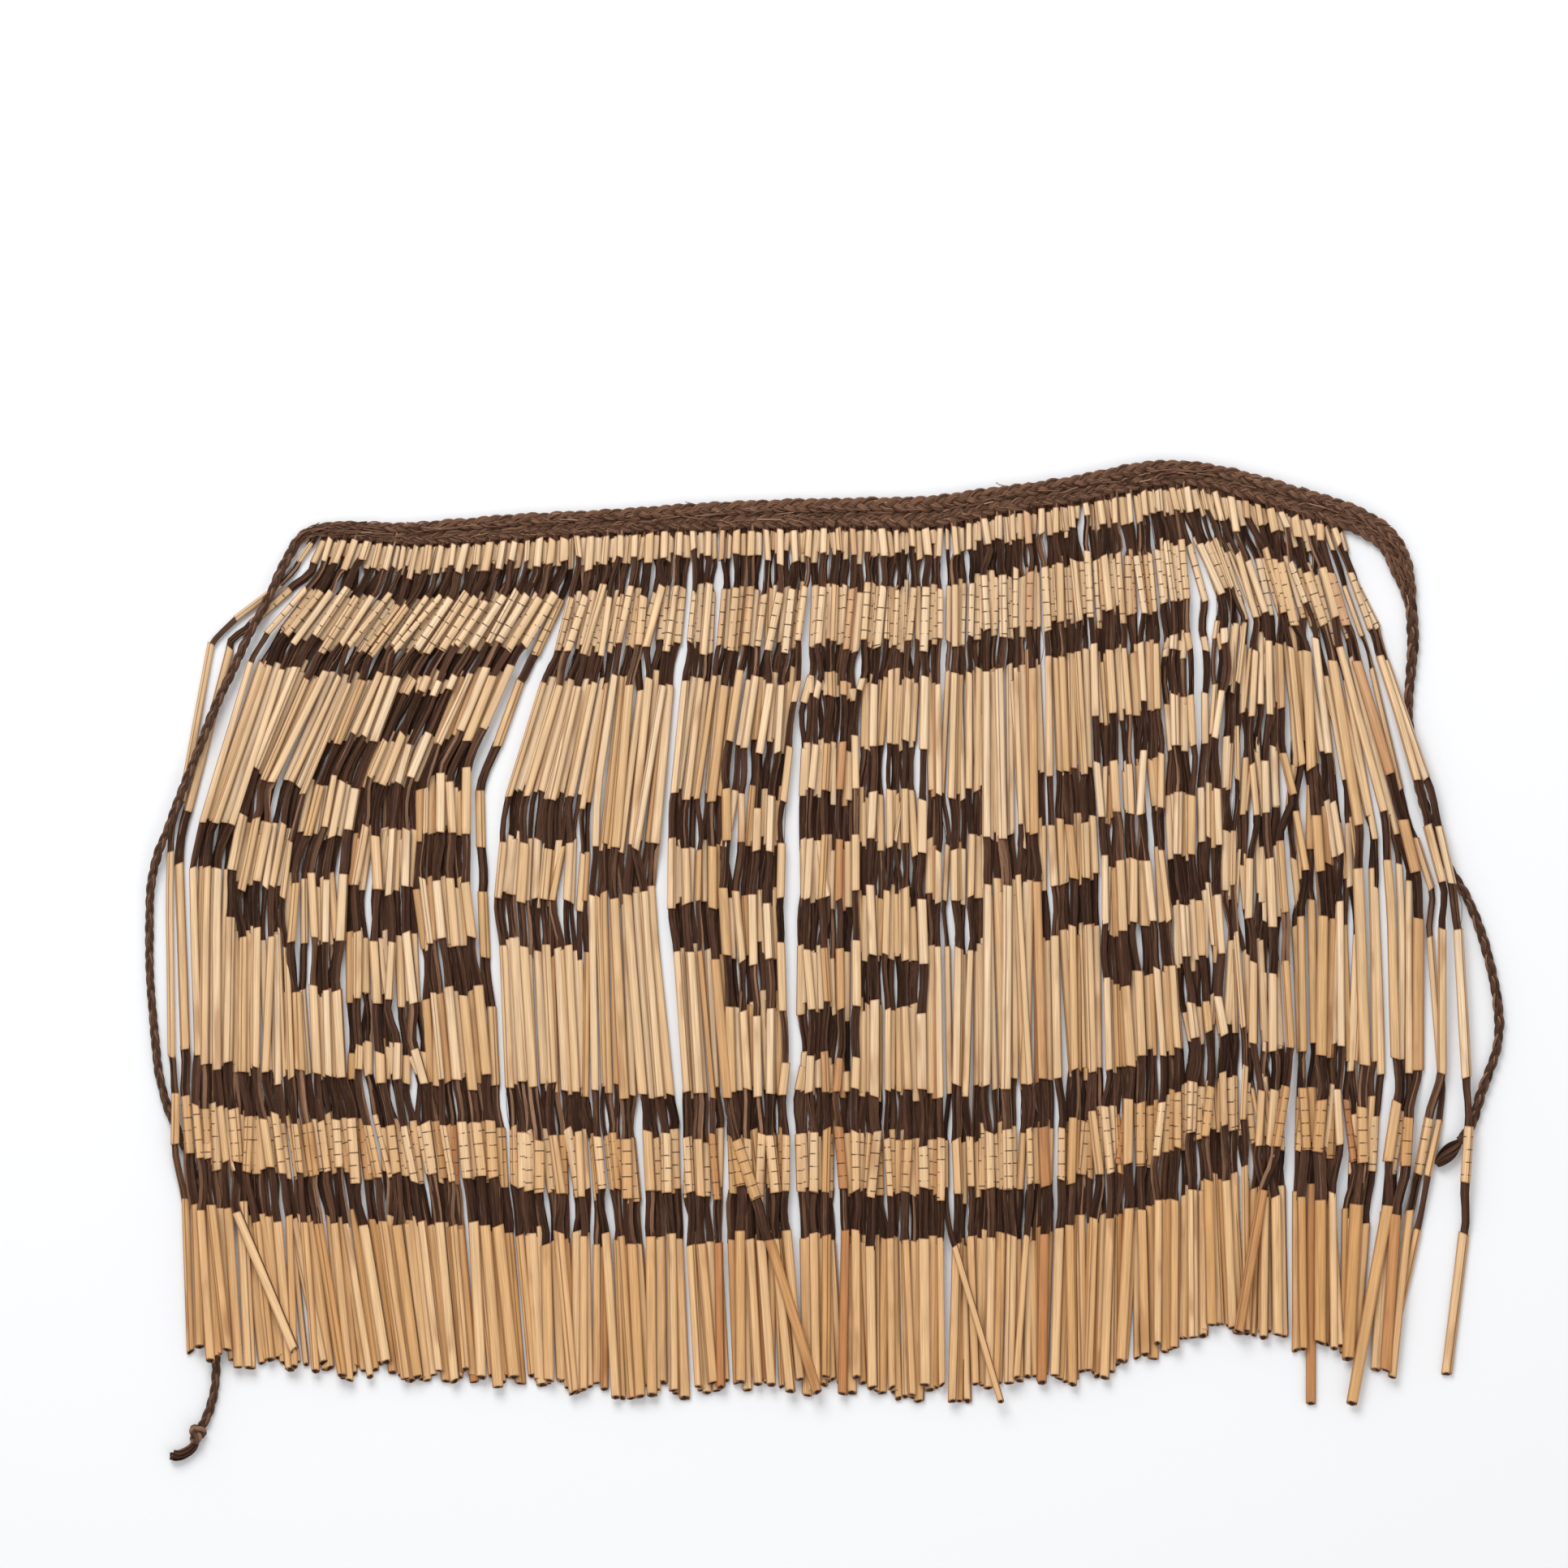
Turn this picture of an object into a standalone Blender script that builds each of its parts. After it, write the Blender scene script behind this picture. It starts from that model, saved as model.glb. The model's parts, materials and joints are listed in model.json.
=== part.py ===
"""A skirt of rolled leaf strands on a plaited waistband, laid open and flat on a surface.

Metres, +Z up. The surface is Z = 0, +X runs along the waistband and +Y from the hem to the waistband.
The tables are in millimetres and are scaled by MM where they are read.
"""

import bisect
import math
import random

import bmesh
import bpy
from mathutils import Vector

MM = 0.001

# Clearances
SEAM = 0.3 * MM
FLOOR_GAP = 0.3 * MM
STRAND_GAP = 0.4 * MM

# Drawing centre: the middle of the box round the waistband and the strands
CENTRE_X = 2.08 * MM
CENTRE_Y = 1.24 * MM

# Waistband
BAND_THICKNESS = 8.4 * MM
BAND_END_THICKNESS = 3.2 * MM
BAND_STEP = 6.0 * MM
PLAIT_RELIEF = 0.9 * MM
# x, y, width
BAND_SECTIONS = (
    (-321.0, 239.5, 5.8),
    (-316.0, 244.8, 6.6),
    (-309.5, 247.6, 7.6),
    (-299.5, 248.8, 9.0),
    (-284.0, 248.6, 10.6),
    (-250.0, 246.6, 13.0),
    (-211.5, 248.7, 15.0),
    (-173.0, 251.5, 15.0),
    (-122.0, 254.2, 14.5),
    (-94.5, 256.0, 15.5),
    (-37.0, 258.2, 17.4),
    (20.0, 259.5, 18.0),
    (63.0, 259.5, 19.2),
    (88.0, 262.5, 18.6),
    (116.0, 267.5, 16.6),
    (148.0, 272.0, 16.0),
    (173.0, 276.5, 16.4),
    (199.5, 282.0, 16.6),
    (218.0, 284.0, 15.2),
    (238.0, 283.2, 14.8),
    (266.5, 276.4, 16.0),
    (295.0, 268.2, 16.0),
    (320.5, 260.0, 16.4),
    (340.5, 252.0, 16.0),
    (354.5, 241.0, 15.0),
    (361.5, 227.0, 14.2),
    (365.5, 214.5, 10.2),
    (367.5, 203.0, 7.0),
)
# share of the width from the middle outwards, share of the thickness, plait phase
BAND_PROFILE = (
    (-0.42, 0.0, 0),
    (0.42, 0.0, 0),
    (0.50, 0.42, 0),
    (0.40, 0.92, 1),
    (0.20, 0.84, -1),
    (0.00, 0.78, 1),
    (-0.20, 0.80, -1),
    (-0.40, 0.74, 1),
    (-0.50, 0.36, 0),
)

# Heading strips
STRIP_WIDTH = 2.4 * MM
STRIP_TOP = 8.5 * MM
STRIP_STEPS = 6
GROUPS = 6

# Strands
STRAND_COUNT = 150
STRAND_LENGTH = 523.0 * MM
LENGTH_SPREAD = 6.0 * MM
# share of the way along the roots, how much longer than the common length the strands are there
LENGTHS = (
    (0.00, 6.0),
    (0.02, -2.0),
    (0.054, 0.5),
    (0.10, 3.0),
    (0.16, 4.5),
    (0.20, 7.5),
    (0.2456, 11.5),
    (0.2576, 7.0),
    (0.30, 5.5),
    (0.38, 8.0),
    (0.46, 5.0),
    (0.55, 4.0),
    (0.61, 10.0),
    (0.68, 14.0),
    (0.74, 12.0),
    (0.79, 7.0),
    (0.82, -1.0),
    (0.86, -3.0),
    (0.93, -3.5),
    (0.96, 0.0),
    (0.98, 7.0),
    (1.00, 14.0),
)
TUBE_WIDTH = 5.8 * MM
WIDTH_SPREAD = 0.6 * MM
TUBE_HEIGHT = 3.8 * MM
LAYER_STEP = 4.1 * MM
FIRST_ROOT_X = -310.0 * MM
LAST_ROOT_X = 324.0 * MM
# strand from which the roots have this spacing, as a share of the common one
SPACINGS = (
    (0, 1.60),
    (1, 0.85),
    (42, 1.00),
    (133, 0.88),
)
# strands that lie under the left tie, so neither is raised on its neighbours
LOW_EDGE = 2
SWAY = 3.4 * MM
SEED = 11
# depth below the root of each column of drift
DEPTHS = (0, 30, 60, 100, 140, 190, 240, 290, 370, 510)
# share of the way along the roots, then the sideways drift at each depth
DRIFTS = (
    (0.0000, (0, -23, -61, -70, -79, -88, -89, -87, -80, -72)),
    (0.0113, (0, -20, -55, -69, -79, -88, -88, -86, -80, -74)),
    (0.0173, (0, -14, -39, -57, -71, -82, -84, -83, -79, -72)),
    (0.0293, (0, -12, -36, -55, -70, -81, -85, -84, -80, -70)),
    (0.0543, (0, -13, -34, -53, -70, -82, -86, -86, -79, -66)),
    (0.1014, (0, -8, -29, -49, -66, -79, -84, -83, -74, -57)),
    (0.1495, (0, -8, -28, -50, -66, -74, -81, -80, -67, -48)),
    (0.1975, (0, -6, -24, -46, -63, -68, -69, -65, -54, -38)),
    (0.2035, (0, -6, -24, -45, -60, -64, -62, -58, -50, -37)),
    (0.2456, (0, -3, -21, -45, -62, -63, -56, -50, -43, -31)),
    (0.2516, (0, -3, -16, -37, -53, -58, -53, -48, -41, -29)),
    (0.2576, (0, -1, -8, -25, -37, -48, -47, -43, -36, -27)),
    (0.3000, (0, -4, -11, -17, -27, -32, -33, -30, -26, -20)),
    (0.3283, (0, -2, -6, -12, -16, -19, -20, -19, -14, -7)),
    (0.3636, (0, -1, -5, -10, -19, -22, -22, -16, -8, 0)),
    (0.3707, (0, 0, -1, -5, -9, -14, -12, -6, -3, 3)),
    (0.4272, (0, -1, -3, -8, -12, -19, -17, -12, -9, -5)),
    (0.4838, (0, -1, -3, -9, -13, -17, -18, -17, -14, -9)),
    (0.4908, (0, -1, -2, -5, -8, -9, -9, -10, -10, -6)),
    (0.5332, (0, 0, -2, -5, -7, -8, -8, -8, -8, -7)),
    (0.7590, (0, 2, 4, 6, 8, 10, 12, 14, 15, 12)),
    (0.8050, (0, 3, 6, 8, 9, 11, 13, 16, 18, 18)),
    (0.8371, (0, 5, 9, 10, 11, 13, 15, 18, 20, 21)),
    (0.8442, (0, 8, 21, 24, 20, 18, 18, 20, 22, 23)),
    (0.8800, (0, 8, 20, 24, 23, 21, 21, 23, 25, 26)),
    (0.9100, (0, 8, 19, 23, 24, 24, 25, 26, 27, 27)),
    (0.9382, (0, 6, 14, 20, 24, 29, 33, 34, 33, 29)),
    (0.9814, (0, 6, 15, 29, 40, 53, 60, 61, 54, 33)),
    (0.9876, (0, 7, 17, 31, 42, 54, 66, 68, 66, 35)),
    (0.9938, (0, 10, 22, 36, 47, 59, 68, 71, 58, 34)),
    (1.0000, (0, 10, 22, 34, 48, 63, 67, 69, 79, 63)),
)
# distance from the root, share of the tube's width and of its height, whether every strand has the ring
RINGS = (
    (-0.6, 0.50, 0.90, True),
    (15.5, 1.00, 1.00, True),
    (25.5, 0.55, 0.60, True),
    (35.0, 1.00, 1.00, True),
    (71.0, 1.00, 1.00, True),
    (81.0, 0.55, 0.60, True),
    (91.0, 1.00, 1.00, True),
    (160.0, 1.00, 1.00, False),
    (225.0, 1.00, 1.00, False),
    (343.0, 1.00, 1.00, True),
    (356.0, 0.55, 0.60, True),
    (369.0, 1.00, 1.00, True),
    (404.0, 1.00, 1.00, True),
    (417.5, 0.55, 0.60, True),
    (431.5, 1.00, 1.00, True),
)
# strands between these shares are straight enough to do without the other rings
STRAIGHT_SHARES = (0.30, 0.93)
# strand, how much longer it is than its neighbours
LONG_ENDS = (
    (137, 41.0),
    (144, 28.0),
    (147, 4.0),
)
# strand, distance from the root at which it leaves its place if it has the common length, shift at the hem
STRAYS = (
    (7, 431.5, 26.0),
    (64, 356.0, 52.0),
    (93, 417.5, 30.0),
    (134, 343.0, -34.0),
)

# Ties
LEFT_TIE_DIAMETER = 5.5 * MM
RIGHT_TIE_DIAMETER = 6.0 * MM
TIE_STEP = 3.0
TIE_ON_FLOOR = 3.38 * MM
LIFT_MARGIN = 1.5 * MM
LIFT_CHECKS = 16
# x, y, z of the tie's middle
LEFT_TIE_ROUTE = (
    (-322.0, 237.6, 3.4),
    (-326.4, 229.5, 4.6),
    (-331.8, 218.0, 7.4),
    (-338.5, 203.0, 7.8),
    (-349.0, 183.0, 7.8),
    (-358.0, 163.5, 7.7),
    (-369.5, 138.0, 7.7),
    (-379.5, 113.0, 7.7),
    (-388.0, 91.0, 7.7),
    (-397.0, 67.5, 7.7),
    (-405.0, 45.5, 7.4),
    (-409.0, 23.5, 4.8),
    (-409.5, -4.5, 3.2),
    (-408.5, -34.5, 3.1),
    (-406.0, -62.0, 3.1),
    (-403.0, -87.0, 3.1),
    (-398.0, -107.0, 3.1),
    (-390.0, -125.0, 3.1),
    (-381.5, -146.0, 3.1),
    (-375.5, -175.0, 3.1),
    (-371.0, -210.0, 3.1),
    (-367.5, -245.0, 3.1),
    (-367.5, -274.0, 3.1),
    (-371.0, -293.0, 3.1),
    (-375.6, -302.6, 3.3),
)
RIGHT_TIE_ROUTE = (
    (367.9, 202.6, 3.5),
    (368.6, 193.0, 3.4),
    (369.0, 178.0, 3.3),
    (368.0, 163.0, 3.3),
    (366.4, 147.0, 3.3),
    (366.0, 130.0, 3.3),
    (368.0, 110.0, 3.3),
    (373.0, 88.0, 3.3),
    (380.5, 63.0, 3.3),
    (390.0, 41.0, 3.3),
    (401.0, 22.0, 3.3),
    (410.0, 0.0, 3.3),
    (416.5, -25.0, 3.3),
    (420.5, -49.5, 3.3),
    (419.5, -70.0, 3.3),
    (413.5, -88.0, 3.3),
    (408.0, -103.0, 3.3),
    (405.0, -114.5, 3.3),
    (401.0, -122.5, 3.4),
    (396.0, -128.0, 3.6),
)
LEFT_KNOT_SIZE = (10.4 * MM, 12.2 * MM, 8.8 * MM)
LEFT_KNOT_CENTRE = (-378.3, -307.8, 4.7)
LEFT_TUFT_ROUTE = (
    (-380.1, -314.6, 3.9),
    (-384.0, -318.0, 3.8),
    (-389.5, -320.6, 3.8),
    (-395.0, -320.2, 3.9),
)
LEFT_TUFT_RADII = (0.85, 1.10, 1.20, 0.75)
LEFT_TUFT_DIAMETER = 5.6 * MM
RIGHT_KNOT_SIZE = (16.4 * MM, 9.0 * MM, 7.6 * MM)
RIGHT_KNOT_CENTRE = (389.7, -133.5, 4.2)
RIGHT_KNOT_TURN = math.radians(41.0)

# colour, roughness
FINISHES = {
    "plait": ((0.060, 0.036, 0.026), 0.72),
    "tie plait": ((0.055, 0.033, 0.024), 0.72),
    "leaf": ((0.720, 0.500, 0.270), 0.48),
}


def smooth_step(value):
    value = min(max(value, 0.0), 1.0)
    return value * value * (3 - 2 * value)


def material(name):
    colour, roughness = FINISHES[name]
    made = bpy.data.materials.get(name) or bpy.data.materials.new(name)
    made.use_nodes = True
    shader = made.node_tree.nodes["Principled BSDF"]
    shader.inputs["Base Color"].default_value = (*colour, 1)
    shader.inputs["Roughness"].default_value = roughness
    shader.inputs["Metallic"].default_value = 0.0
    return made


def clear_scene():
    for old in list(bpy.data.objects):
        bpy.data.objects.remove(old, do_unlink=True)


def place(point):
    """A drawing point in millimetres, as a vector in metres from the drawing centre."""
    x, y, *height = point
    return Vector((x * MM - CENTRE_X, y * MM - CENTRE_Y, height[0] * MM if height else 0.0))


def smooth_curve(points, step):
    """Evenly spaced vectors on a Catmull-Rom curve through the points, whatever their number of axes."""
    points = [Vector(point) for point in points]
    padded = [2 * points[0] - points[1], *points, 2 * points[-1] - points[-2]]
    fine = [points[0]]
    for before, start, end, after in zip(padded, padded[1:], padded[2:], padded[3:]):
        for index in range(1, 13):
            t = index / 12
            fine.append(
                0.5
                * (
                    2 * start
                    + (end - before) * t
                    + (2 * before - 5 * start + 4 * end - after) * t**2
                    + (3 * start - before - 3 * end + after) * t**3
                )
            )
    reached = [0.0]
    for first, second in zip(fine, fine[1:]):
        reached.append(reached[-1] + (second - first).length)
    count = max(2, round(reached[-1] / step))
    return [along(fine, reached, reached[-1] * index / count) for index in range(count + 1)]


def along(points, reached, distance):
    index = min(max(bisect.bisect_right(reached, distance), 1), len(points) - 1)
    span = reached[index] - reached[index - 1]
    return points[index - 1].lerp(points[index], (distance - reached[index - 1]) / span)


def sideways(points, index):
    """The direction across a flat path, a quarter turn to its left."""
    before = points[max(index - 1, 0)]
    after = points[min(index + 1, len(points) - 1)]
    run = (after - before).to_2d().normalized()
    return Vector((-run.y, run.x, 0.0))


def loft(name, sections, collection, finish):
    """One closed solid through rings of points that run the same way round, with a flat face at each end."""
    mesh = bmesh.new()
    rings = [[mesh.verts.new(point) for point in section] for section in sections]
    for near, far in zip(rings, rings[1:]):
        for index, corner in enumerate(near):
            following = (index + 1) % len(near)
            mesh.faces.new((corner, near[following], far[following], far[index]))
    mesh.faces.new(rings[0][::-1])
    mesh.faces.new(rings[-1])
    bmesh.ops.recalc_face_normals(mesh, faces=mesh.faces[:])
    data = bpy.data.meshes.new(name)
    mesh.to_mesh(data)
    mesh.free()
    data.materials.append(material(finish))
    made = bpy.data.objects.new(name, data)
    collection.objects.link(made)
    return made


def band_middle():
    """Points along the waistband's middle, each with its width as a fourth number."""
    drawn = []
    for x, y, width in BAND_SECTIONS:
        spot = place((x, y))
        drawn.append((spot.x, spot.y, 0.0, width * MM))
    return smooth_curve(drawn, BAND_STEP)


def make_waistband(collection, middle):
    sections = []
    flat = [point.to_3d() for point in middle]
    for index, point in enumerate(middle):
        width = point[3]
        across = sideways(flat, index)
        thickness = min(BAND_THICKNESS, BAND_END_THICKNESS + width / 2)
        twist = 1 if index % 2 else -1
        ring = []
        for out, up, phase in BAND_PROFILE:
            height = up * thickness + phase * twist * PLAIT_RELIEF / 2
            ring.append(flat[index] + across * out * width + Vector((0, 0, height)))
        sections.append(ring)
    loft("waistband", sections, collection, "plait")


def heading_line(middle):
    """Points along the middle of the heading strips, just under the waistband's lower edge."""
    flat = [point.to_3d() for point in middle]
    return [
        flat[index] - sideways(flat, index) * (point[3] / 2 + SEAM + STRIP_WIDTH / 2)
        for index, point in enumerate(middle)
    ]


def at_x(line, x):
    for near, far in zip(line, line[1:]):
        if near.x <= x <= far.x:
            return near.lerp(far, (x - near.x) / (far.x - near.x))
    raise ValueError("no point of the line is at this x")


def root_positions():
    steps = [[share for first, share in SPACINGS if first <= index][-1] for index in range(STRAND_COUNT - 1)]
    total = sum(steps)
    shares = [sum(steps[:index]) / total for index in range(STRAND_COUNT)]
    return [FIRST_ROOT_X + (LAST_ROOT_X - FIRST_ROOT_X) * share - CENTRE_X for share in shares], shares


def between(rows, place):
    """The value of a table of (place, value) rows at this place."""
    upper = min(max(bisect.bisect_right([row[0] for row in rows], place), 1), len(rows) - 1)
    low, high = rows[upper - 1], rows[upper]
    return low[1] + (high[1] - low[1]) * (place - low[0]) / (high[0] - low[0])


def drift_at(share, depth):
    """The sideways drift of a strand, between the two nearest rows and columns of the table."""
    rows = [row[0] for row in DRIFTS]
    upper = min(max(bisect.bisect_right(rows, share), 1), len(rows) - 1)
    mix = (share - rows[upper - 1]) / (rows[upper] - rows[upper - 1])
    column = min(max(bisect.bisect_right(DEPTHS, depth / MM), 1), len(DEPTHS) - 1)
    t = (depth / MM - DEPTHS[column - 1]) / (DEPTHS[column] - DEPTHS[column - 1])
    drifts = [
        (1 - mix) * low + mix * high for low, high in zip(DRIFTS[upper - 1][1], DRIFTS[upper][1])
    ]
    before = drifts[max(column - 2, 0)]
    start, end = drifts[column - 1], drifts[column]
    after = drifts[min(column + 1, len(drifts) - 1)]
    slope_in, slope_out = (end - before) / 2, (after - start) / 2
    curve = (
        (2 * t**3 - 3 * t**2 + 1) * start
        + (t**3 - 2 * t**2 + t) * slope_in
        + (3 * t**2 - 2 * t**3) * end
        + (t**3 - t**2) * slope_out
    )
    return curve * MM


class Strand:
    """One strand: its root, its width, and its plan position at each ring."""

    def __init__(self, index, share, root, chance):
        self.index = index
        self.share = share
        self.root = root
        self.width = TUBE_WIDTH + WIDTH_SPREAD * chance.uniform(-1, 1)
        common = STRAND_LENGTH + between(LENGTHS, share) * MM
        self.length = common + LENGTH_SPREAD * chance.uniform(-1, 1)
        self.length += dict(LONG_ENDS).get(index, 0.0) * MM
        self.sways = [(chance.uniform(0.6, 2.4), chance.uniform(0, math.tau)) for _ in range(2)]
        self.raised = index % 2 == 0 and index >= LOW_EDGE
        stray = [row for row in STRAYS if row[0] == index]
        self.stray_from, self.stray_shift = stray[0][1:] if stray else (0.0, 0.0)
        self.stray_from *= common / STRAND_LENGTH
        self.fine, self.reached = self.path()
        self.distances = [row[0] * MM * common / STRAND_LENGTH for row in RINGS] + [self.length]
        self.plan = [along(self.fine, self.reached, max(far, 0.0)) for far in self.distances]
        self.plan[0] = self.root.copy()
        self.lift = [0.0] * len(self.plan)

    def path(self):
        points, reached, depth = [self.root.copy()], [0.0], 0.0
        while reached[-1] < self.length:
            depth += 2 * MM
            grown = smooth_step(depth / STRAND_LENGTH)
            sway = sum(math.sin(rate * math.tau * depth / STRAND_LENGTH + turn) for rate, turn in self.sways)
            x = self.root.x + drift_at(self.share, depth) + sway * grown * SWAY / 2
            points.append(Vector((x, self.root.y - depth, 0.0)))
            reached.append(reached[-1] + (points[-1] - points[-2]).length)
        return points, reached

    def squareness(self, ring):
        """How much of a sideways distance lies square to the strand at this ring."""
        run = self.plan[min(ring + 1, len(self.plan) - 1)] - self.plan[max(ring - 1, 0)]
        return abs(run.y) / run.length


def part_neighbours(strands):
    """Moves strands of the same layer sideways until their tubes are clear of each other at each ring."""
    for layer in (False, True):
        row = [strand for strand in strands if strand.raised == layer and not strand.stray_shift]
        for ring in range(1, len(RINGS) + 1):
            for _ in range(12):
                for left, right in zip(row, row[1:]):
                    needed = (left.width + right.width) / 2 + STRAND_GAP
                    needed /= min(left.squareness(ring), right.squareness(ring))
                    short = needed - (right.plan[ring].x - left.plan[ring].x)
                    if short > 0:
                        left.plan[ring].x -= short / 2
                        right.plan[ring].x += short / 2


def settle(strands, lying):
    """Gives each ring its height: on the floor, on its neighbours, or over a tie that lies on the floor."""
    low = [strand for strand in strands if not strand.raised]
    for strand in strands:
        if strand.raised:
            crowded = [is_crowded(strand, ring, low) for ring in range(len(strand.plan))]
            crowded[0] = crowded[1] = crowded[0] or crowded[1]
            for ring in range(len(strand.plan)):
                if any(crowded[max(ring - 1, 0) : ring + 2]):
                    strand.lift[ring] = LAYER_STEP
        near = [lift_over(strand, ring, lying) for ring in range(len(strand.plan) - 1)]
        for ring in range(1, len(strand.plan)):
            over = max(near[max(ring - 1, 0) : ring + 1], default=0.0)
            strand.lift[ring] += over
        if strand.stray_shift:
            stray_over(strand)


def is_crowded(strand, ring, low):
    spot = strand.plan[ring]
    for other in low:
        needed = (strand.width + other.width) / 2 + STRAND_GAP
        apart = abs(spot.x - other.plan[ring].x) * min(strand.squareness(ring), other.squareness(ring))
        if apart < needed:
            return True
    return False


def lift_over(strand, ring, lying):
    """The lift that the stretch after this ring needs to pass over a tie or a knot on the floor."""
    start, end = strand.plan[ring], strand.plan[ring + 1]
    needed = 0.0
    for width, top, route in lying:
        clear = (strand.width + width) / 2 + STRAND_GAP + LIFT_MARGIN
        for step in range(LIFT_CHECKS + 1):
            spot = start.lerp(end, step / LIFT_CHECKS)
            for point in route:
                if point.z < TIE_ON_FLOOR and (point.to_2d() - spot.to_2d()).length < clear:
                    needed = max(needed, top + SEAM - FLOOR_GAP)
    return needed


def stray_over(strand):
    """A stray rises above both layers before it leaves its place and crosses its neighbours."""
    for ring, distance in enumerate(strand.distances):
        past = distance / MM - strand.stray_from
        if past > -0.01:
            share = past / (strand.length / MM - strand.stray_from)
            strand.plan[ring].x += strand.stray_shift * MM * share
            strand.lift[ring] = max(strand.lift[ring], 2 * LAYER_STEP)


def make_strand(strand, collection):
    """A three-sided strand with a flat underside, thin where it is scraped to bare fibre."""
    sections = []
    for ring, (_, wide, high, always) in enumerate((*RINGS, (0, 1.0, 1.0, True))):
        if not always and STRAIGHT_SHARES[0] < strand.share < STRAIGHT_SHARES[1]:
            continue
        spot = strand.plan[ring]
        across = sideways([point.to_3d() for point in strand.plan], ring) * strand.width * wide / 2
        base = Vector((spot.x, spot.y, FLOOR_GAP + strand.lift[ring]))
        base.z += TUBE_HEIGHT * (1 - high) / 2
        top = base + Vector((0, 0, TUBE_HEIGHT * high))
        sections.append((base - across, base + across, top))
    return loft(f"strand {strand.index}", sections, collection, "leaf")


def make_strip(name, line, first_x, last_x, collection):
    step = (last_x - first_x) / STRIP_STEPS
    ring_points = [at_x(line, first_x + step * index) for index in range(STRIP_STEPS + 1)]
    sections = []
    for index, point in enumerate(ring_points):
        across = sideways(ring_points, index) * STRIP_WIDTH / 2
        low, high = Vector((0, 0, FLOOR_GAP)), Vector((0, 0, STRIP_TOP))
        near, far = point - across, point + across
        sections.append((near + low, far + low, far + high, near + high))
    return loft(name, sections, collection, "leaf")


def joined(name, pieces, collection):
    """The pieces as loose bodies of one mesh."""
    mesh = bmesh.new()
    for piece in pieces:
        mesh.from_mesh(piece.data)
        bpy.data.objects.remove(piece, do_unlink=True)
    data = bpy.data.meshes.new(name)
    mesh.to_mesh(data)
    mesh.free()
    made = bpy.data.objects.new(name, data)
    made.hide_render = True
    made.display_type = "WIRE"
    collection.objects.link(made)
    return made


def make_fringe(strands, line, parts, helpers):
    pitch = (strands[-1].root.x - strands[-2].root.x) / 2
    size = STRAND_COUNT // GROUPS
    for group in range(GROUPS):
        own = strands[group * size : (group + 1) * size]
        last_x = own[-1].root.x + pitch - SEAM / 2
        first_x = own[0].root.x - pitch + SEAM / 2
        strip = make_strip(f"fringe_{group + 1}", line, first_x, last_x, parts)
        locks = joined(f"strands of group {group + 1}", [make_strand(one, helpers) for one in own], helpers)
        fuse = strip.modifiers.new("Roots", "BOOLEAN")
        fuse.operation = "UNION"
        fuse.solver = "EXACT"
        fuse.object = locks


def make_cord(name, route, diameter, collection, radii=None):
    data = bpy.data.curves.new(name, "CURVE")
    data.dimensions = "3D"
    data.bevel_depth = diameter / 2
    data.bevel_resolution = 2
    data.use_fill_caps = True
    spline = data.splines.new("POLY")
    spline.points.add(len(route) - 1)
    for index, point in enumerate(route):
        spline.points[index].co = (*point, 1)
        spline.points[index].radius = radii[index] if radii else 1.0
    data.materials.append(material("tie plait"))
    made = bpy.data.objects.new(name, data)
    collection.objects.link(made)


def make_knot(name, centre, size, turn, collection):
    mesh = bmesh.new()
    bmesh.ops.create_uvsphere(mesh, u_segments=10, v_segments=7, radius=0.5)
    bmesh.ops.scale(mesh, vec=size, verts=mesh.verts[:])
    data = bpy.data.meshes.new(name)
    mesh.to_mesh(data)
    mesh.free()
    data.shade_smooth()
    data.materials.append(material("tie plait"))
    made = bpy.data.objects.new(name, data)
    made.location = place(centre)
    made.rotation_euler.z = turn
    collection.objects.link(made)


def tie_points(route, diameter):
    return smooth_curve([place(point) for point in route], TIE_STEP * diameter)


def main():
    clear_scene()
    parts = bpy.data.collections.new("Leaf strand skirt")
    helpers = bpy.data.collections.new("Strands before they are fused")
    bpy.context.scene.collection.children.link(parts)
    bpy.context.scene.collection.children.link(helpers)

    middle = band_middle()
    make_waistband(parts, middle)

    left_tie = tie_points(LEFT_TIE_ROUTE, LEFT_TIE_DIAMETER)
    right_tie = tie_points(RIGHT_TIE_ROUTE, RIGHT_TIE_DIAMETER)
    make_cord("tie_left", left_tie, LEFT_TIE_DIAMETER, parts)
    make_cord("tie_right", right_tie, RIGHT_TIE_DIAMETER, parts)
    make_knot("knot_left", LEFT_KNOT_CENTRE, LEFT_KNOT_SIZE, 0.0, parts)
    make_knot("knot_right", RIGHT_KNOT_CENTRE, RIGHT_KNOT_SIZE, RIGHT_KNOT_TURN, parts)
    tuft = [place(point) for point in LEFT_TUFT_ROUTE]
    make_cord("tuft_left", tuft, LEFT_TUFT_DIAMETER, parts, LEFT_TUFT_RADII)

    line = heading_line(middle)
    chance = random.Random(SEED)
    positions, shares = root_positions()
    strands = [Strand(index, shares[index], at_x(line, x), chance) for index, x in enumerate(positions)]
    part_neighbours(strands)
    reach = Vector((math.cos(RIGHT_KNOT_TURN), math.sin(RIGHT_KNOT_TURN), 0.0)) * RIGHT_KNOT_SIZE[0] / 3
    knot = [place(RIGHT_KNOT_CENTRE) + reach * way for way in (-1, 0, 1)]
    lying = (
        (LEFT_TIE_DIAMETER, LEFT_TIE_DIAMETER + SEAM, left_tie),
        (RIGHT_TIE_DIAMETER, RIGHT_TIE_DIAMETER + SEAM, right_tie),
        (RIGHT_KNOT_SIZE[1], RIGHT_KNOT_SIZE[2] + 2 * SEAM, knot),
    )
    settle(strands, lying)
    make_fringe(strands, line, parts, helpers)


main()
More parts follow.
